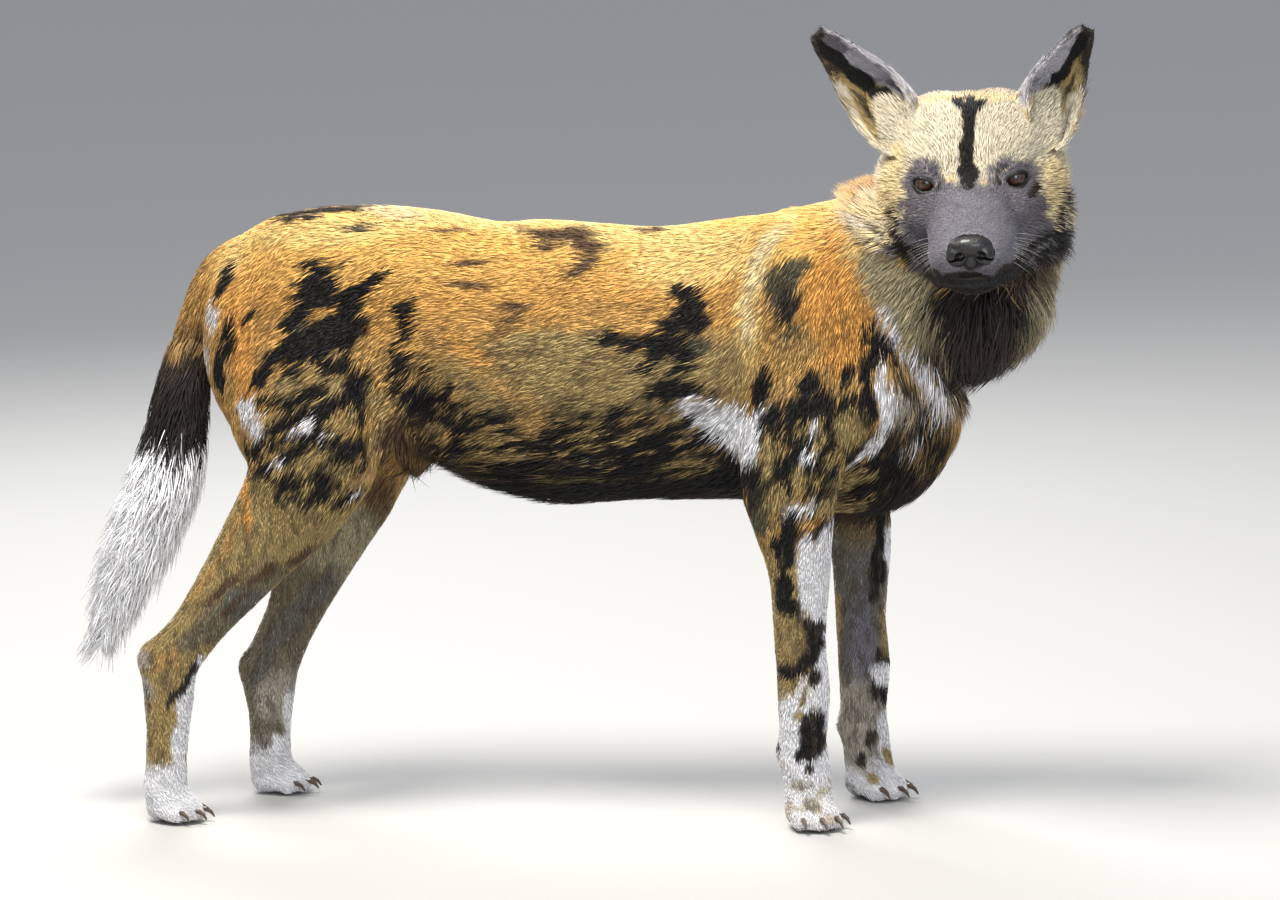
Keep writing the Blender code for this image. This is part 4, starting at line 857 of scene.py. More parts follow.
# %% The colour of any place
def markings(row_points, surface, labels):
    """The coat's colour, in linear light, at places of the skin."""
    points = in_frame(BODY, row_points)
    heads = in_frame(HEAD_IN_ROW, row_points)
    x, _, z = points.T
    swirl, fine = noise(points, 0.045), noise(points, 0.009)
    wave, grit = swirl - 0.5, fine - 0.5
    rough = 0.55 * grit + 0.35 * (noise(points, 0.018) - 0.5)

    def chart_with_wander(places, size, offset):
        """Places on the side chart, each moved a little so that no patch is a plain ellipse."""
        wander = np.stack((noise(points, size) - 0.5, noise(points + offset, size) - 0.5), 1)
        return side_chart(places) + 5.0 * wander

    charted = chart_with_wander(points, 0.012, 3.1)
    far_chart = chart_with_wander(points * (1, -1, 1), 0.013, 1.7)
    facing = surface @ BACK
    seen = unit((facing + 0.10 + 0.25 * grit) / 0.16)
    ahead = unit((facing + 0.50) / 0.20)
    islands = 0.6 * noise(points, (0.020, 0.016, 0.013)) + 0.4 * noise(points, 0.008)
    front = np.where(np.abs(heads[:, 1]) < 0.070, ahead, seen) * unit((heads[:, 0] + 0.085) / 0.02)
    left = 1 - seen
    colour = np.tile(TONE["gold"], (len(points), 1))

    def part(*words):
        return is_part(labels, *words)

    def paint(tone, share):
        colour[:] += (TONE[tone] - colour) * share[:, None]

    def lay(patch_list, own, broken=None, places=charted):
        lay_patches(colour, places, rough, own, patch_list, broken)

    # Ground colours of the trunk: gold on the back, tan on the flank, mottled and then black below.
    streak = noise(points, (0.030, 0.012, 0.006))
    paint("ochre", unit((0.660 - z + 0.03 * wave) / 0.05) * 0.8)
    paint("tan", unit((0.600 - z + 0.05 * wave) / 0.07) * 0.8)
    paint("brown", unit((streak - 0.62) / 0.12) * unit((0.66 - z) / 0.08) * 0.45)
    mottle = noise(points, (0.026, 0.026, 0.016)) + 0.35 * (noise(points, 0.008) - 0.5)
    barrel = part("torso")
    low = unit((0.475 - z + 0.08 * wave) / 0.05) * (barrel | part("upper_arm_"))
    paint("dark", low * unit((mottle - 0.34) / 0.16))
    paint("black", unit((0.425 - z + 0.05 * wave) / 0.03) * barrel * 0.85)
    paint("dark", (barrel & (surface[:, 2] < -0.75)) * 0.7)

    # The legs: dun, white at the paws, and painted shade that darkens the top of the far foreleg and its upper
    # arm, which stand in the body's shadow.
    legs = part("forearm", "paw_fore", "shank", "hind_foot", "paw_hind")
    fore = part("forearm", "paw_fore")
    hind = legs & ~fore
    on_left = part("_left")
    lower_arm = unit((0.350 + 0.05 * wave - z) / 0.05)
    paint("dun", fore * lower_arm)
    paint("ash", (fore & on_left) * lower_arm * seen)
    # Painted shade: the top of the far foreleg, under the body, is darkened.
    paint("dark", (fore & on_left) * (1 - lower_arm) * seen * 0.8)
    paint("dun", np.maximum(hind, part("thigh_") * unit((0.430 + 0.05 * wave - z) / 0.06)))
    paint("ash", (hind & on_left) * 0.8 * seen)
    paint("white", legs * unit((0.075 - z) / 0.03) * (0.9 - 0.5 * (mottle > 0.66)))
    # Painted shade on the far upper arm, in the shadow of the chest.
    paint("dark", part("upper_arm_left") * seen * 0.9)
    pads = part("paw_") & (surface[:, 2] < -0.6)
    paint("black", pads * 0.9)

    # The patches of both sides, dark hairs between the tan ones and tan hairs between the black ones.
    trunk = part("torso", "upper_arm_", "thigh_", "tail_base")
    hip = part("thigh_", "shank_")
    lay(RIGHT_SIDE, seen * (trunk & ~part("thigh_left", "upper_arm_left")), islands)
    lay(LEFT_SIDE, left * (trunk & ~part("thigh_right", "upper_arm_right")), islands, far_chart)
    grizzle = unit((noise(points, (0.018, 0.008, 0.0055)) + 0.4 * fine - 0.84) / 0.12)
    grizzle = grizzle * unit((0.63 - z) / 0.06)
    paint("umber", barrel * grizzle * 0.55 * (colour.mean(1) > 0.10))
    stray = unit((noise(points + 5.3, (0.022, 0.010, 0.006)) - 0.62) / 0.08) * unit((z - 0.395) / 0.02)
    paint("fleck", barrel * stray * 0.75 * (z < 0.52) * (colour.mean(1) < 0.05))
    lay(HIND_RIGHT, seen * (hip & ~on_left) * (z < 0.40))
    lay(HIND_RIGHT, seen * (hind & ~on_left))
    lay(HIND_LEFT, seen * (on_left & (hind | hip)))
    elbow = part("upper_arm_") & (z < 0.385)
    lay(FORE_RIGHT, seen * ((fore | elbow) & ~on_left), islands)
    lay(FORE_LEFT, seen * ((fore | elbow) & on_left), islands)
    lay(LEG_LEFT_FAR, left * legs, islands, far_chart)
    streaks = unit((noise(points, (0.005, 0.005, 0.014)) + 0.5 * fine - 0.85) / 0.12)
    paint("umber", legs * streaks * 0.55 * (colour.mean(1) < 0.42))

    # The tail: gold at its root, a dark band and a white brush.
    tail = part("tail_")
    ragged = z + 0.030 * grit + 0.02 * wave
    paint("tan", tail * 1.0)
    paint("ochre", tail * unit((streak - 0.40) / 0.2) * 0.6)
    paint("dark", tail * unit((0.580 - ragged) / 0.03))
    paint("black", tail * unit((0.540 - ragged) / 0.04) * 0.7)
    paint("white", tail * unit((0.442 - ragged) / 0.012))

    # The neck and throat.
    neck = part("neck")
    paint("pale gold", neck * unit((z - 0.66) / 0.03))
    paint("tan", neck * unit((0.66 - z) / 0.05) * 0.8)
    paint("umber", neck * unit((x - 0.43 + 0.03 * wave) / 0.03) * unit((0.75 - z) / 0.03))
    paint("orange", neck * unit((0.315 - x) / 0.02) * unit((0.70 - z) / 0.03))
    lay(THROAT, ahead * neck)

    # The head: cream brow and cheeks, and a dark mask that is wider where the chart does not reach.
    on_head = part("head")
    hx, hy, hz = heads.T
    paint("cream", on_head * 1.0)
    paint("pale gold", on_head * unit((streak - 0.45) / 0.2) * unit((0.06 - hz) / 0.04) * 0.5)
    paint("ochre", on_head * unit((-0.070 - hx + 0.02 * wave) / 0.035) * 0.9)
    crest = unit((-0.085 - hx) / 0.03) * unit((0.022 - np.abs(hy) + 0.01 * grit) / 0.01)
    paint("brown", on_head * crest * 0.7)
    mask = on_head * unit((hx - 0.030 + 0.02 * grit) / 0.014) * unit((0.030 - hz) / 0.02)
    paint("slate", mask)
    under = on_head * unit((-0.080 - hz + 0.010 * grit) / 0.006)
    paint("dark", under)
    paint("black", under * unit((hx - 0.030) / 0.02))
    # The face patches include painted shade under the upper lip.
    lay(FACE, front * on_head)
    paint("black", on_head * unit((0.0085 - gap_to(heads, on_head, mouth_line)) / 0.003))
    for rim in rims:
        gap = gap_to(heads, on_head, rim)
        paint("slate", on_head * unit((0.0125 - gap + 0.006 * grit) / 0.003))
        paint("black", on_head * unit((0.0045 - gap + 0.002 * grit) / 0.002))

    # Ears: grey along the leading edge, black inside, dark behind with a paler base.
    for name, ear_patches in (("ear_right", EAR_RIGHT), ("ear_left", EAR_LEFT)):
        own = part(name)
        root, tip, face = EARS[name]
        share = (heads - np.array(root)) @ np.array((tip - root).normalized()) / (tip - root).length
        opens = surface @ np.array(HEAD_IN_ROW.to_3x3() @ face.normalized())
        paint("dark", own * 1.0)
        paint("dun", own * unit((0.45 - share) / 0.2))
        lay(ear_patches, own * (opens > -0.55) * ahead)
    grain = 0.86 + 0.28 * noise(points, (0.012, 0.006, 0.0035))
    return np.clip(colour * grain[:, None] * (0.93 + 0.14 * swirl)[:, None], 0.004, 0.9)


def write_colours(mesh, colours):
    """Keeps a colour for each corner in the attribute that the finishes read."""
    layer = mesh.attributes.new("coat", "FLOAT_COLOR", "POINT")
    layer.data.foreach_set("color", np.column_stack((colours, np.ones(len(colours)))).ravel())


skin_colour = markings(co, normals, label)
write_colours(mesh, skin_colour)
bare_share = mesh.attributes.new("bare", "FLOAT", "POINT")
bare_share.data.foreach_set("value", bare)
print("mean coat colour", skin_colour.mean(0).round(3))

# %% [markdown]
# ## Tufts
# A dog's coat is made of guard hairs that cling together in small flat locks. Modelling each hair is out of
# the question, so each lock is one slim closed blade: a point in the skin, one or more rings of three corners,
# and a pointed tip. Six triangles are enough for a short one. Roots are spread evenly over the skin by area,
# and the tip of each is laid at its own height over the skin it reaches.

# %% Fields that the tufts follow
FOLD_GAP = 0.030
skin_tree = BVHTree.FromPolygons(co.tolist(), triangles.tolist())
pinched = np.zeros(count)  # 1 where the skin faces more skin close by, as in the fold behind the jaw
for k in np.flatnonzero(on_neck | on_head & (head_x < -0.02)):
    hit = skin_tree.ray_cast(Vector(co[k] + normals[k] * 0.0015), Vector(normals[k]), FOLD_GAP)[0]
    pinched[k] = hit is not None
print("pinched places", int(pinched.sum()))
length = np.full(count, 0.024)
length[on_neck] = 0.028
length[on_leg] = 0.0115
length[on_paw] = 0.0085
length[on_ear] = 0.0065
cheek = unit((0.012 - head_x) / 0.05) * unit((0.050 - head_z) / 0.05)
chin = unit((-0.086 - head_z) / 0.008)
nape = unit((-0.050 - head_x) / 0.030)
puff = on_head * soften(cheek * unit((np.abs(head_y) - 0.060) / 0.025), 6)
back_of_jaw = unit((-0.015 - head_x) / 0.03) * unit((0.035 - head_z) / 0.03)
jowl = on_head * soften(unit((np.abs(head_y) - 0.066) / 0.02) * back_of_jaw, 6)
eye_side = unit((0.018 - rim_gap) / 0.010)
head_length = 0.0120 - 0.0070 * muzzle + 0.0070 * cheek + 0.0130 * chin
head_length = head_length + 0.0120 * nape + 0.0060 * puff + 0.0120 * jowl
length = np.where(on_head, head_length, length) * (1 - 0.45 * eye_side)
length[on_tail] = 0.028
on_torso = is_part(label, "torso")
throat = on_neck * unit((0.655 - body_z) / 0.05) * unit((body_x - 0.31) / 0.05)
chest = on_torso * unit((body_x - 0.28) / 0.04)
belly = on_torso * unit((0.43 - body_z) / 0.04)
fringe = on_torso * unit((0.46 - body_z) / 0.03) * unit((0.15 - np.abs(body_x + 0.14)) / 0.06)
buttock = is_part(label, "thigh_") * unit((-0.45 - body_x) / 0.03)
ruff = on_neck * unit((0.72 - body_z) / 0.05) * unit((body_x - 0.37) / 0.05)
length = length + 0.022 * throat + 0.010 * ruff + 0.012 * chest
length = soften(length + 0.014 * belly + 0.020 * fringe + 0.008 * buttock, 10)
frill = np.zeros(count)
for name, (root, tip, face) in EARS.items():
    own = is_part(label, name)
    along = (tip - root).normalized()
    from_root = at_head - np.array(root)
    share = from_root @ np.array(along) / (tip - root).length
    off_middle = np.abs(from_root @ np.array((face - along * face.dot(along)).cross(along).normalized()))
    frill = np.where(own, unit((off_middle - 0.016) / 0.012) * unit((0.70 - share) / 0.3), frill)
length = length + 0.012 * soften(frill, 3)
sheath = near(at_body, (-0.275, 0.0, 0.430), (0.045, 0.060, 0.050))
length = length + 0.016 * soften(sheath, 4)
length = length * (1 - 0.75 * soften(np.maximum(pinched, on_neck * (lie[:, 2] > 0.15)), 3))
width = soften(np.select([on_head, on_ear, on_paw, on_leg], [0.00075, 0.00080, 0.00090, 0.00095], 0.00120), 6)
width = width + 0.0003 * soften(throat + belly, 6)
rise = depth + 0.010 * soften(throat, 8) + 0.010 * soften(ruff, 8) + 0.003 * soften(chest + 2 * belly, 8)
rise = rise + 0.007 * puff + on_head * (0.004 * nape + 0.004 * chin)
rise = (rise + 0.010 * jowl) * (1 - 0.5 * eye_side)
rise = rise + 0.006 * soften(sheath, 4) + 0.011 * soften(fringe, 8)
gaps = (0.00165, 0.00165, 0.00195, 0.00230)
spacing = soften(np.select([on_head, on_ear, on_paw, on_leg], gaps, 0.00285), 4)
print("hair, mm", (length.min() * 1000).round(1), "to", (length.max() * 1000).round(1))


# %% Spread the roots
def scatter(faces_here, gap):
    """Roots spread by area over some triangles: (triangle, corner weights)."""
    a, b, c = (co[triangles[faces_here, k]] for k in range(3))
    area = span_of(np.cross(b - a, c - a)) / 2
    wanted = np.cumsum(area / gap[triangles[faces_here]].mean(1) ** 2)
    many = np.diff(np.floor(wanted + rng.random()), prepend=0).astype(int)
    many[0] = max(many[0], 0)
    chosen = np.repeat(faces_here, many)
    u, v = rng.random(len(chosen)), rng.random(len(chosen))
    over = u + v > 1
    u[over], v[over] = 1 - u[over], 1 - v[over]
    return chosen, np.stack((1 - u - v, u, v), 1)


def field(values, chosen, weights):
    picked = values[triangles[chosen]]
    return (picked * (weights[..., None] if picked.ndim == 3 else weights)).sum(1)


# %% Lay the tips
SUNK_DEPTH = 0.0025  # how far a tuft's middle may lie inside the skin before the tuft is cut short


def height_error(places, wanted, only_outwards=False):
    """What moves each place along the normal of the skin nearest to it, to its wanted height."""
    moves = np.zeros_like(places)
    for k, place in enumerate(places.tolist()):
        found, facing, _, _ = skin_tree.find_nearest(place, 0.05)
        if found is not None:
            move = wanted[k] - (places[k] - np.array(found)) @ np.array(facing)
            if move > 0 or not only_outwards:
                moves[k] = np.array(facing) * move
    return moves


def tips_of(root, up, way, side, long, high, bend):
    """The tip of each tuft, at its own height over the skin it reaches."""
    n = len(root)
    tip = root + way * long[:, None]
    tip += height_error(tip, high)
    tip += side * (rng.normal(0, bend, n) * long)[:, None]
    tip = root + (tip - root) * np.minimum(1, (1.1 * long + 0.004) / span_of(tip - root))[:, None]
    # In a fold the nearest skin can be another part's: a tuft that turns up or goes through it is kept short.
    tip -= up * np.maximum(0, ((tip - root) * up).sum(1) - (1.6 * high + 0.20 * long))[:, None]
    sunk = span_of(height_error(root + (tip - root) * 0.55, np.full(n, -SUNK_DEPTH), True)) > 0
    return np.where(sunk[:, None], root + (tip - root) * 0.2, tip)


# %% Shape the blades
PATCH = 0.0015  # half of a tuft's patch on the sheet
ROOT_DEPTH = 0.0006


def blade_corners(root, tip, up, side, wide, high, rings, painted_root_shade):
    """The corners of each blade from root to tip, their painted shades (darker at the root, lighter towards the
    tip and along the top) and their places on the tuft's patch.
    """
    columns, shades, patch = [root - up * ROOT_DEPTH], [painted_root_shade], [(0.0, -PATCH)]
    for k in range(rings):
        share = (k + 1) / (rings + 1.35)
        arch = math.sin(math.pi * min(1.0, share * 1.15))
        centre = root + (tip - root) * share + up * (high * 0.30 * arch + wide * 0.12)[:, None]
        half = (wide * (1.0 - 0.45 * k / max(rings, 1)) / 2)[:, None]
        columns += [centre - side * half, centre + side * half, centre + up * half * 0.75]
        # Painted shade: each ring is darker towards the root, where little light gets in between the locks, and
        # lighter towards the tip. The top corner is a little lighter as a painted highlight on the ridge, and
        # the tip lightest.
        shade = (0.86 + 0.16 * share) * (0.7 + 0.3 * painted_root_shade / 0.70)
        shades += [shade, shade, shade + 0.05]
        patch += [(-PATCH, 0.0), (PATCH, 0.0), (0.0, 0.0)]
    return np.stack((*columns, tip), 1), np.array((*shades, 1.05)), np.array((*patch, (0.0, PATCH)))


def blade_faces(rings):
    """The triangles of one blade: three at its root, six between two rings and three at its tip."""
    faces = [(0, 1, 3), (0, 3, 2), (0, 2, 1)]
    for k in range(rings - 1):
        a, b = 1 + 3 * k, 4 + 3 * k
        for p, q in ((0, 2), (2, 1), (1, 0)):
            faces += [(a + p, b + p, b + q), (a + p, b + q, a + q)]
    a, end = 3 * rings - 2, 3 * rings + 1
    return np.array(faces + [(a, end, a + 2), (a + 2, end, a + 1), (a + 1, end, a)])


# %% Make a coat piece
def lay_tufts(name, roots, surface_finish, rings=1, lift=(0.55, 1.0), bend=0.05, tone=None,
              ticking=0.03, painted_root_shade=0.70):
    """Makes one coat piece: a closed blade for each root.

    rings is how many rings of three corners each blade has, lift the range of its tip's height, bend how far it
    strays sideways, ticking the share of dark hairs, and dusk how light the root stays under the shade painted
    there, where little light gets in."""
    chosen, weights = roots
    n = len(chosen)
    root = field(co, chosen, weights)
    up = laid(field(normals, chosen, weights), np.zeros((n, 3)))
    own_label = label[triangles[chosen, 0]]
    way = laid(field(lie, chosen, weights), up)
    side = np.cross(up, way)
    # Neighbours lean together, and so form small locks, less on the head.
    waves = noise(root, 0.011) + 0.5 * noise(root, 0.030) - 0.75
    on_face = is_part(own_label, "head", "ear_")
    sway = rng.normal(0, 0.07, n) + np.where(on_face, 0.30, 0.60) * waves
    way = laid(way + side * sway[:, None], up)
    side = np.cross(up, way)
    long = field(length, chosen, weights) * rng.uniform(0.72, 1.25, n)
    wide = field(width, chosen, weights) * rng.uniform(0.75, 1.25, n)
    high = field(rise, chosen, weights) * rng.uniform(lift[0], lift[1], n)
    tip = tips_of(root, up, way, side, long, high, bend)
    marks = (rng.uniform(0.10, 0.80, n) * long)[:, None]
    base = markings(root + way * marks, up, own_label) if tone is None else tone(root, up, own_label, n)
    ticked = rng.random(n) < ticking * unit(base.mean(1) / 0.15)
    swing = np.where(on_face, 0.19, 0.14)
    base = base * np.where(ticked, 0.55, 1 + swing * rng.uniform(-1, 1, n))[:, None]
    base = base * (1 + 1.3 * (rng.random(n) < 0.05) * (base.mean(1) < 0.14))[:, None]

    corners, shades, patch = blade_corners(root, tip, up, side, wide, high, rings, painted_root_shade)
    blades = (blade_faces(rings)[None] + len(shades) * np.arange(n)[:, None, None]).reshape(-1, 3)
    places = corners.reshape(-1, 3)
    colours = base[:, None, :] * shades[None, :, None]

    coat = bpy.data.meshes.new(name)
    coat.vertices.add(len(places))
    coat.loops.add(blades.size)
    coat.polygons.add(len(blades))
    coat.vertices.foreach_set("co", places.ravel())
    coat.loops.foreach_set("vertex_index", blades.ravel())
    coat.polygons.foreach_set("loop_start", np.arange(0, blades.size, 3))
    coat.update(calc_edges=True)
    write_colours(coat, colours.reshape(-1, 3).clip(0, 1))
    spots = on_sheet(root, chart[chosen])[:, None, :] + patch[None]
    sheet = coat.uv_layers.new(name="OFBake")
    sheet.data.foreach_set("uv", spots.reshape(-1, 2)[blades.ravel()].ravel())
    piece = in_scene(name, coat)
    dress(piece, surface_finish)
    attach(piece, "root")
    print(name, n, "tufts", len(blades), "triangles")


# %% [markdown]
# ## Finishes
# Hair is keratin: dull from the side and soft in its gloss, as light scatters between the hairs. The colour of
# each lock comes from its own attribute, with light and shade painted into it: darker at the root, where little
# light gets in, and paler at the tip.
# The skin under it carries the same colours, with a fine grain as of short hair, and is moist and smooth on
# lids and lips.

# %% Helpers for nodes, and the coat's finishes
def connect(tree, node, **inputs):
    """Sets a node's inputs, by name or as _0, _1: each is a value, or an output to link."""
    for key, value in inputs.items():
        socket = node.inputs[int(key[1:])] if key[0] == "_" else node.inputs[key.replace("_", " ")]
        if isinstance(value, bpy.types.NodeSocket):
            tree.links.new(value, socket)
        else:
            socket.default_value = value


def add(tree, kind, settings=(), **inputs):
    """Adds a node with its settings and inputs."""
    node = tree.nodes.new("ShaderNode" + kind)
    for key, value in dict(settings).items():
        setattr(node, key, value)
    connect(tree, node, **inputs)
    return node


def finish(name, **inputs):
    """A Principled surface with its uniform values on its own sockets."""
    made = bpy.data.materials.new(name)
    made.use_nodes = True
    shader = made.node_tree.nodes["Principled BSDF"]
    connect(made.node_tree, shader, **inputs)
    return made, made.node_tree, shader


def dress(piece, surface):
    """Gives a piece one finish and smooth shading."""
    piece.data.materials.clear()
    piece.data.materials.append(surface)
    piece.data.shade_smooth()


coat_finish, tree, shader = finish("keratin_guard_hair", Roughness=0.55, IOR=1.55, Specular_IOR_Level=0.25)
shade = add(tree, "Attribute", {"attribute_name": "coat"})
connect(tree, shader, Base_Color=shade.outputs["Color"])

skin_finish, tree, shader = finish("skin_under_short_hair", IOR=1.45, Specular_IOR_Level=0.35)
shade = add(tree, "Attribute", {"attribute_name": "coat"})
moist = add(tree, "Attribute", {"attribute_name": "bare"})
place = add(tree, "TexCoord")
# Hair grain about 1.2 mm wide: a scale of 800 swells to the metre.
grain = add(tree, "TexNoise", Vector=place.outputs["Object"], Scale=800.0, Detail=3.0, Roughness=0.6)
rough = add(tree, "MapRange", Value=moist.outputs["Fac"], To_Min=0.78, To_Max=0.32)
dull = add(tree, "MapRange", Value=grain.outputs["Fac"], To_Min=0.55, To_Max=0.85)
tint = add(tree, "VectorMath", {"operation": "SCALE"}, Vector=shade.outputs["Color"],
           Scale=dull.outputs["Result"])
bump = add(tree, "Bump", Strength=0.5, Distance=0.0004, Height=grain.outputs["Fac"])
connect(tree, shader, Base_Color=tint.outputs["Vector"], Roughness=rough.outputs["Result"],
        Normal=bump.outputs["Normal"])

dress(skin, skin_finish)
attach(skin, "root")
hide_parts(*FLESH)
print("skin replaces", len(FLESH), "nodes")

# %% Short and middling hair, part by part
face_label = label[triangles[:, 0]]
bare_face = bare[triangles].max(1)
face_middle = at_body[triangles].mean(1)
under_soles = (normals[triangles].mean(1)[:, 2] < -0.6) & (face_middle[:, 2] < 0.02)
hairy = (bare_face < 0.35) & ~under_soles
right_half = face_middle[:, 1] < 0
head_right = right_half & (at_head[triangles].mean(1)[:, 1] < 0)
brush_face = face_middle[:, 2] < 0.56
throat_face = (throat + ruff)[triangles].mean(1) > 0.45


def faces_of(*words):
    return is_part(face_label, *words) & hairy


COAT_PIECES = (
    ("coat_head_right", faces_of("head") & head_right),
    ("coat_head_left", faces_of("head") & ~head_right),
    ("coat_ears", faces_of("ear_")),
    ("coat_neck", faces_of("neck") & ~throat_face),
    ("coat_barrel_right", faces_of("torso") & right_half),
    ("coat_barrel_left", faces_of("torso") & ~right_half),
    ("coat_shoulders", faces_of("upper_arm_")),
    ("coat_thighs", faces_of("thigh_")),
    ("coat_forelegs", faces_of("forearm", "paw_fore")),
    ("coat_hind_legs", faces_of("shank", "hind_foot", "paw_hind")),
    ("coat_tail_root", faces_of("tail_") & ~brush_face),
)
density = 1.035
for name, own in COAT_PIECES:
    ticking = 0.07 if name.startswith(("coat_barrel", "coat_thigh", "coat_shoulder")) else 0.012
    lay_tufts(name, scatter(np.flatnonzero(own), spacing * density), coat_finish, ticking=ticking)

# %% [markdown]
# ## Ruff and brush
# The throat has a deep, fluffy ruff, and the tail ends in a white brush. Both are long locks that stand
# further off the skin at their tips and curve back along it, so that light falls between them.

# %% Long locks
roots = scatter(np.flatnonzero(faces_of("neck") & throat_face), spacing * 0.95 * density)
lay_tufts("coat_ruff", roots, coat_finish, rings=3, lift=(0.25, 1.25), bend=0.12)


def brush_colour(root, up, labels, n):
    """White below the dark band, which starts a little higher on some locks than on others."""
    z = root[:, 2] + rng.normal(0, 0.008, n)
    tone = markings(root, up, labels)
    white = unit((0.462 - z) / 0.010)[:, None]
    return tone * (1 - white) + TONE["white"] * 1.12 * white


rows = np.array(TAIL_ROWS)
reach = np.interp(body_z - 0.045, rows[::-1, 2], (rows[:, 3] - rows[:, 4])[::-1])
rise = np.where(on_tail, np.maximum(reach * 1.15, 0.003 + 0.006 * unit((0.59 - body_z) / 0.08)), rise)
length = np.where(on_tail, 0.030 + 0.044 * unit((0.56 - body_z) / 0.09), length)
length = np.where(on_tail, length * np.clip((body_z - 0.15) / 0.10, 0.45, 1), length)
LOCK_WIDTH = 0.0019  # also the gap between the brush's locks
width = np.where(on_tail, LOCK_WIDTH, width)
roots = scatter(np.flatnonzero(faces_of("tail_") & brush_face), np.full(count, LOCK_WIDTH) * density)
lay_tufts("coat_brush", roots, coat_finish, rings=3, lift=(0.45, 1.05), bend=0.035,
          # The brush's locks get less painted shade at their roots than the rest of the coat.
          tone=brush_colour, painted_root_shade=0.92)

# %% [markdown]
# ## Eyes
# A dog's eye is a ball of about 26 mm with a clear bulge in front. The iris here is a warm red-brown round a
# black pupil. The ball is one sphere whose front is pulled out a little, and its finish reads the distance
# from the middle of the pupil, so that iris, dark rim and white lie in rings. A clear coat gives the gloss
# of a wet eye.

# %% Eyes
IRIS_REACH = 0.0140  # from the middle of the pupil to where the last ring ends
# Share of that reach, and the colour there
IRIS_RINGS = ((0.0, "020101"), (0.21, "020101"), (0.25, "22120A"), (0.38, "4B2A18"),
              (0.48, "331A0D"), (0.56, "0E0705"), (0.66, "1C120E"), (0.9, "3E2E27"))
BALL_RADIUS = EYE_RADIUS * 0.985
BULGE = 0.0011


def eye_finish(name, pupil):
    made, tree, shader = finish(name, Roughness=0.30, IOR=1.38, Coat_Weight=0.7, Coat_Roughness=0.04,
                                Specular_IOR_Level=0.4)
    place = add(tree, "TexCoord")
    away = add(tree, "VectorMath", {"operation": "DISTANCE"}, _0=place.outputs["Object"], _1=pupil)
    rays = add(tree, "TexNoise", Vector=place.outputs["Object"], Scale=1400.0, Detail=2.0)
    wander = add(tree, "MapRange", Value=rays.outputs["Fac"], To_Min=-0.0005, To_Max=0.0005)
    ring = add(tree, "Math", {"operation": "ADD"}, _0=away.outputs["Value"], _1=wander.outputs["Result"])
    share = add(tree, "Math", {"operation": "MULTIPLY"}, _0=ring.outputs["Value"], _1=1 / IRIS_REACH)
    ramp = add(tree, "ValToRGB", Fac=share.outputs["Value"])
    ramp.color_ramp.elements.remove(ramp.color_ramp.elements[1])
    for at, code in IRIS_RINGS:
        stop = ramp.color_ramp.elements[0] if at == 0.0 else ramp.color_ramp.elements.new(at)
        stop.position = at
        stop.color = (*linear(code), 1.0)
    connect(tree, shader, Base_Color=ramp.outputs["Color"])
    return made


LOOKS_AT = Vector((1.216, -6.826, 1.396))  # where a visitor stands, to the dog's right
for name, side in (("eye_left", 1), ("eye_right", -1)):
    middle = HEAD_IN_ROW @ eye_place(side).translation
    ahead = (HEAD_IN_ROW @ eye_place(side)).to_3x3().col[0].normalized()
    gaze = ((LOOKS_AT - middle).normalized() + ahead * 0.35).normalized()
    turn = Vector((0, 0, 1)).rotation_difference(gaze).to_matrix().to_4x4()
    bm = bmesh.new()
    bmesh.ops.create_uvsphere(bm, u_segments=48, v_segments=40, radius=BALL_RADIUS)
    for vert in bm.verts:
        vert.co.z += BULGE * max(0.0, (vert.co.z / EYE_RADIUS - 0.72) / 0.28) ** 1.4
    ball = new_piece(f"{name}_ball", bm, Matrix.Translation(middle) @ turn)
    dress(ball, eye_finish(f"wet_{name}", middle + gaze * (BALL_RADIUS + BULGE)))
    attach(ball, "root")
    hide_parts(name)
print("eyes at", [round(v, 3) for v in middle])

# %% [markdown]
# ## Nose
# The nose pad is bare, black, pebbled skin with comma-shaped nostrils and a groove down its middle. Four eggs
# are fused to its form. A smaller egg and a tapered tube cut each nostril and its slit. Its grain is a cell
# pattern of about 1.1 mm.

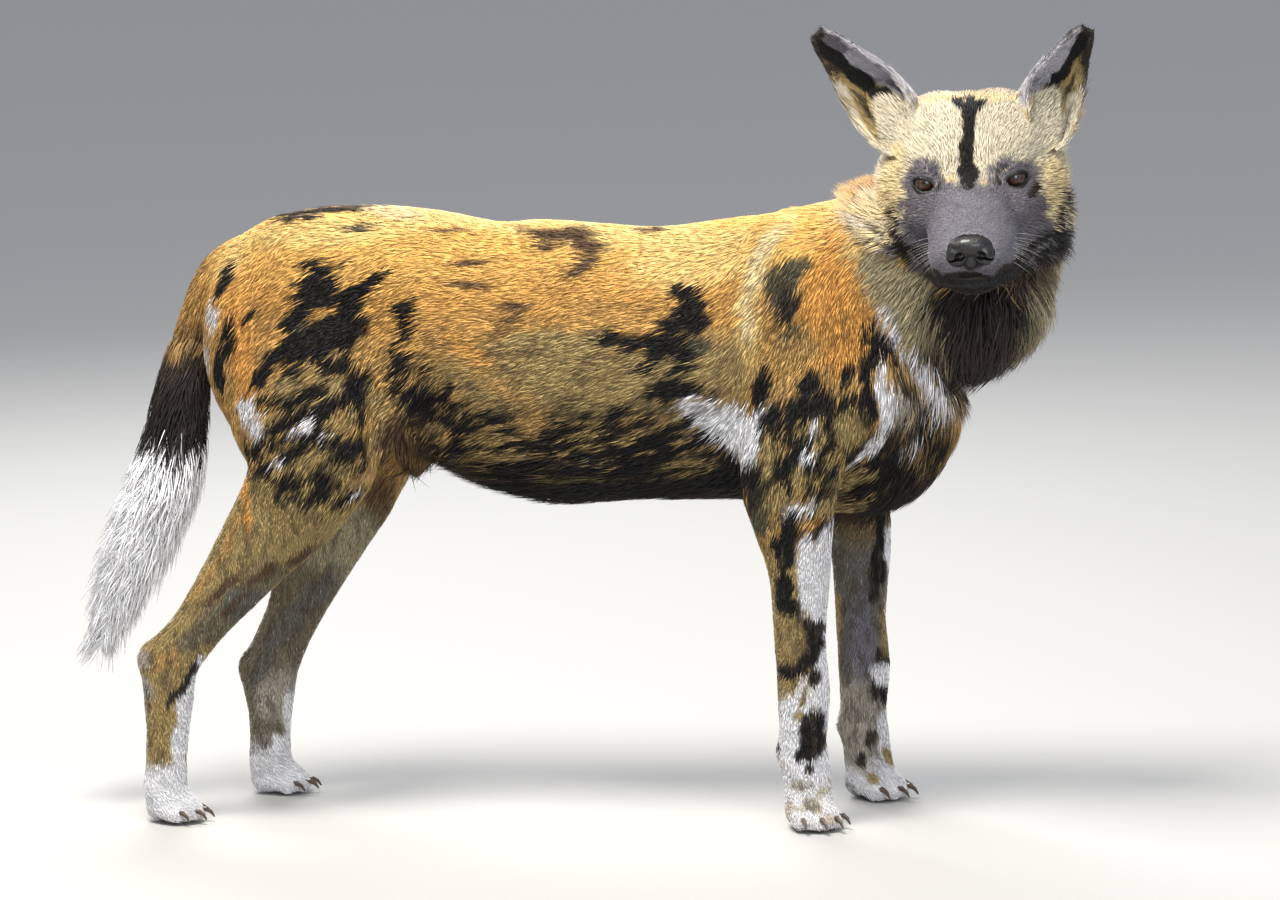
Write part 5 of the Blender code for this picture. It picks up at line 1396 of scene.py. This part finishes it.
# %% Nose pad
NOSE_AT = Vector((0.1085, 0.0, -0.0480))
bm = bmesh.new()
slope = Matrix.Rotation(math.radians(-14), 4, "Y")
egg(bm, NOSE_AT + Vector((-0.006, 0, 0.008)), (0.0150, 0.0240, 0.0122), slope)
egg(bm, NOSE_AT + Vector((-0.0080, 0, -0.0085)), (0.0095, 0.0080, 0.0125))
for side in (-1, 1):
    turn = Matrix.Rotation(side * math.radians(20), 4, "Z")
    egg(bm, NOSE_AT + Vector((-0.005, side * 0.0142, -0.001)), (0.0134, 0.0128, 0.0138), turn)
bmesh.ops.transform(bm, matrix=HEAD_IN_ROW, verts=bm.verts)
nose = fused("nose_pad", bm, 0.0009)
for side in (-1, 1):
    bm = bmesh.new()
    nostril = NOSE_AT + Vector((0.0074, side * 0.0122, -0.0005))
    egg(bm, nostril, (0.0100, 0.0046, 0.0054), Matrix.Rotation(side * math.radians(36), 4, "Z"))
    hole = new_piece("nostril", bm, HEAD_IN_ROW)
    bm = bmesh.new()
    slit_line = table("-0.001 0.002 -0.002, -0.004 0.009 -0.0055, -0.007 0.015 -0.0075")
    places = [nostril + Vector((x, side * y, z)) for x, y, z in slit_line]
    tube(bm, places, ((0.0062, 0.0019), (0.0058, 0.0015), (0.0050, 0.0010)), side=(1, 0, 0), sides=12)
    slit = new_piece("slit", bm, HEAD_IN_ROW)
    for tool in (hole, slit):
        reshape(nose, "BOOLEAN", operation="DIFFERENCE", solver="MANIFOLD", object=tool)
        bpy.data.objects.remove(tool)
reshape(nose, "SMOOTH", factor=0.5, iterations=4)
nose_finish, tree, shader = finish("pebbled_nose_leather", IOR=1.45, Coat_Weight=0.4, Coat_Roughness=0.20,
                                   Specular_IOR_Level=0.4)
place = add(tree, "TexCoord")
# Pebbles of about 1.1 mm: 900 cells to the metre.
cells = add(tree, "TexVoronoi", {"feature": "DISTANCE_TO_EDGE"}, Vector=place.outputs["Object"], Scale=900.0)
pebble = add(tree, "MapRange", Value=cells.outputs["Distance"], From_Max=0.35, To_Min=0.0, To_Max=1.0)
tone = add(tree, "Mix", {"data_type": "RGBA"}, _0=pebble.outputs["Result"],
           _6=(*linear("060505"), 1.0), _7=(*linear("151314"), 1.0))
damp = add(tree, "MapRange", Value=pebble.outputs["Result"], To_Min=0.36, To_Max=0.24)
bump = add(tree, "Bump", Strength=0.6, Distance=0.0003, Height=pebble.outputs["Result"])
connect(tree, shader, Base_Color=tone.outputs[2], Roughness=damp.outputs["Result"],
        Normal=bump.outputs["Normal"])
dress(nose, nose_finish)
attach(nose, "root")
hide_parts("nose")
print("nose", len(nose.data.polygons), "faces")

# %% [markdown]
# ## Whiskers and claws
# Stiff pale whiskers stand in rows on the lip pads, and dark blunt claws stand out of the toes. The packed
# claws are already right in shape, so they stay and only get the finish of worn horn.

# %% Whiskers and claws
WHISKER_RADIUS = 0.00017
whisker_finish = finish("whisker_keratin", Roughness=0.4, IOR=1.55, Base_Color=(*linear("C9C4BA"), 1.0))[0]
bm = bmesh.new()
for side in (-1, 1):
    for row in range(3):
        for k in range(4):
            root = Vector((0.078 - 0.013 * k, side * (0.041 + 0.0018 * k), -0.052 - 0.0075 * row + 0.001 * k))
            out = Vector((0.10 - 0.16 * k, side * 1.0, -0.25 - 0.18 * row + 0.1 * rng.random())).normalized()
            reach = 0.018 + 0.005 * k + 0.008 * rng.random()
            sag = Vector((-0.016, 0, -0.010))
            places = [root + out * reach * t + sag * t * t for t in (-0.08, 0.3, 0.6, 1.0)]
            radii = [WHISKER_RADIUS * (1 - 0.8 * t) for t in (0, 0.3, 0.6, 1.0)]
            tube(bm, places, [(radius, radius) for radius in radii], side=(0, 0, 1), sides=5)
whiskers = new_piece("whiskers", bm, HEAD_IN_ROW)
dress(whiskers, whisker_finish)
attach(whiskers, "root")

claw_finish, tree, shader = finish("worn_horn", IOR=1.54, Roughness=0.38)
place = add(tree, "TexCoord")
streaks = add(tree, "TexNoise", Vector=place.outputs["Object"], Scale=500.0, Detail=2.0)
ramp = add(tree, "ValToRGB", Fac=streaks.outputs["Fac"])
ramp.color_ramp.elements[0].color = (*linear("1E1814"), 1.0)
ramp.color_ramp.elements[1].color = (*linear("5C4A3A"), 1.0)
connect(tree, shader, Base_Color=ramp.outputs["Color"])
claws = [name for name in nodes if name.startswith("claw_")]
for name in claws:
    nodes[name].material_slots[0].material = claw_finish
print("claws", len(claws))

# %% [markdown]
# ## Floor, light and camera
# A pale floor and broad soft lights, brightest from above as on a sunny day, show the coat. The camera stands
# to the dog's right, ten degrees round towards its head and a little above it, with a long lens.

# %% Stage
bm = bmesh.new()
bmesh.ops.create_grid(bm, x_segments=2, y_segments=2, size=40.0)
floor = new_piece("floor", bm)
floor.data.materials.append(finish("matt_floor", Roughness=0.9, Base_Color=(*linear("A9A8A5"), 1.0))[0])

world = bpy.data.worlds.new("studio")
bpy.context.scene.world = world
world.use_nodes = True
sky = world.node_tree.nodes["Background"]
connect(world.node_tree, sky, Color=(0.86, 0.90, 1.0, 1.0), Strength=0.70)


def soft_light(name, place, target, size, power, colour=(1.0, 1.0, 1.0)):
    data = bpy.data.lights.new(name, "AREA")
    data.shape, data.size, data.energy, data.color = "SQUARE", size, power, colour
    lamp = in_scene(name, data)
    lamp.location = place
    lamp.rotation_mode = "QUATERNION"
    lamp.rotation_quaternion = (Vector(target) - Vector(place)).to_track_quat("-Z", "Y")


soft_light("key", (-0.5, -1.2, 3.6), (0.05, 0.0, 0.5), 1.4, 235, (1.0, 0.96, 0.88))
soft_light("fill", (2.2, -4.0, 1.6), (0.1, 0.0, 0.5), 2.4, 130, (0.96, 0.98, 1.0))
soft_light("rim", (-1.2, 2.8, 2.8), (0.0, 0.0, 0.6), 1.8, 120)

camera_data = bpy.data.cameras.new("camera")
camera_data.lens, camera_data.sensor_width = 36 * FAR / SEEN_WIDTH, 36
camera_data.clip_end = 120
camera = in_scene("camera", camera_data)
camera.rotation_mode = "QUATERNION"
camera.rotation_quaternion = Matrix((ACROSS, ABOVE, BACK)).transposed().to_quaternion()
camera.location = SHIFT + Vector(MIDDLE + BACK * FAR)
bpy.context.scene.camera = camera
bpy.context.scene.view_settings.view_transform = "Standard"
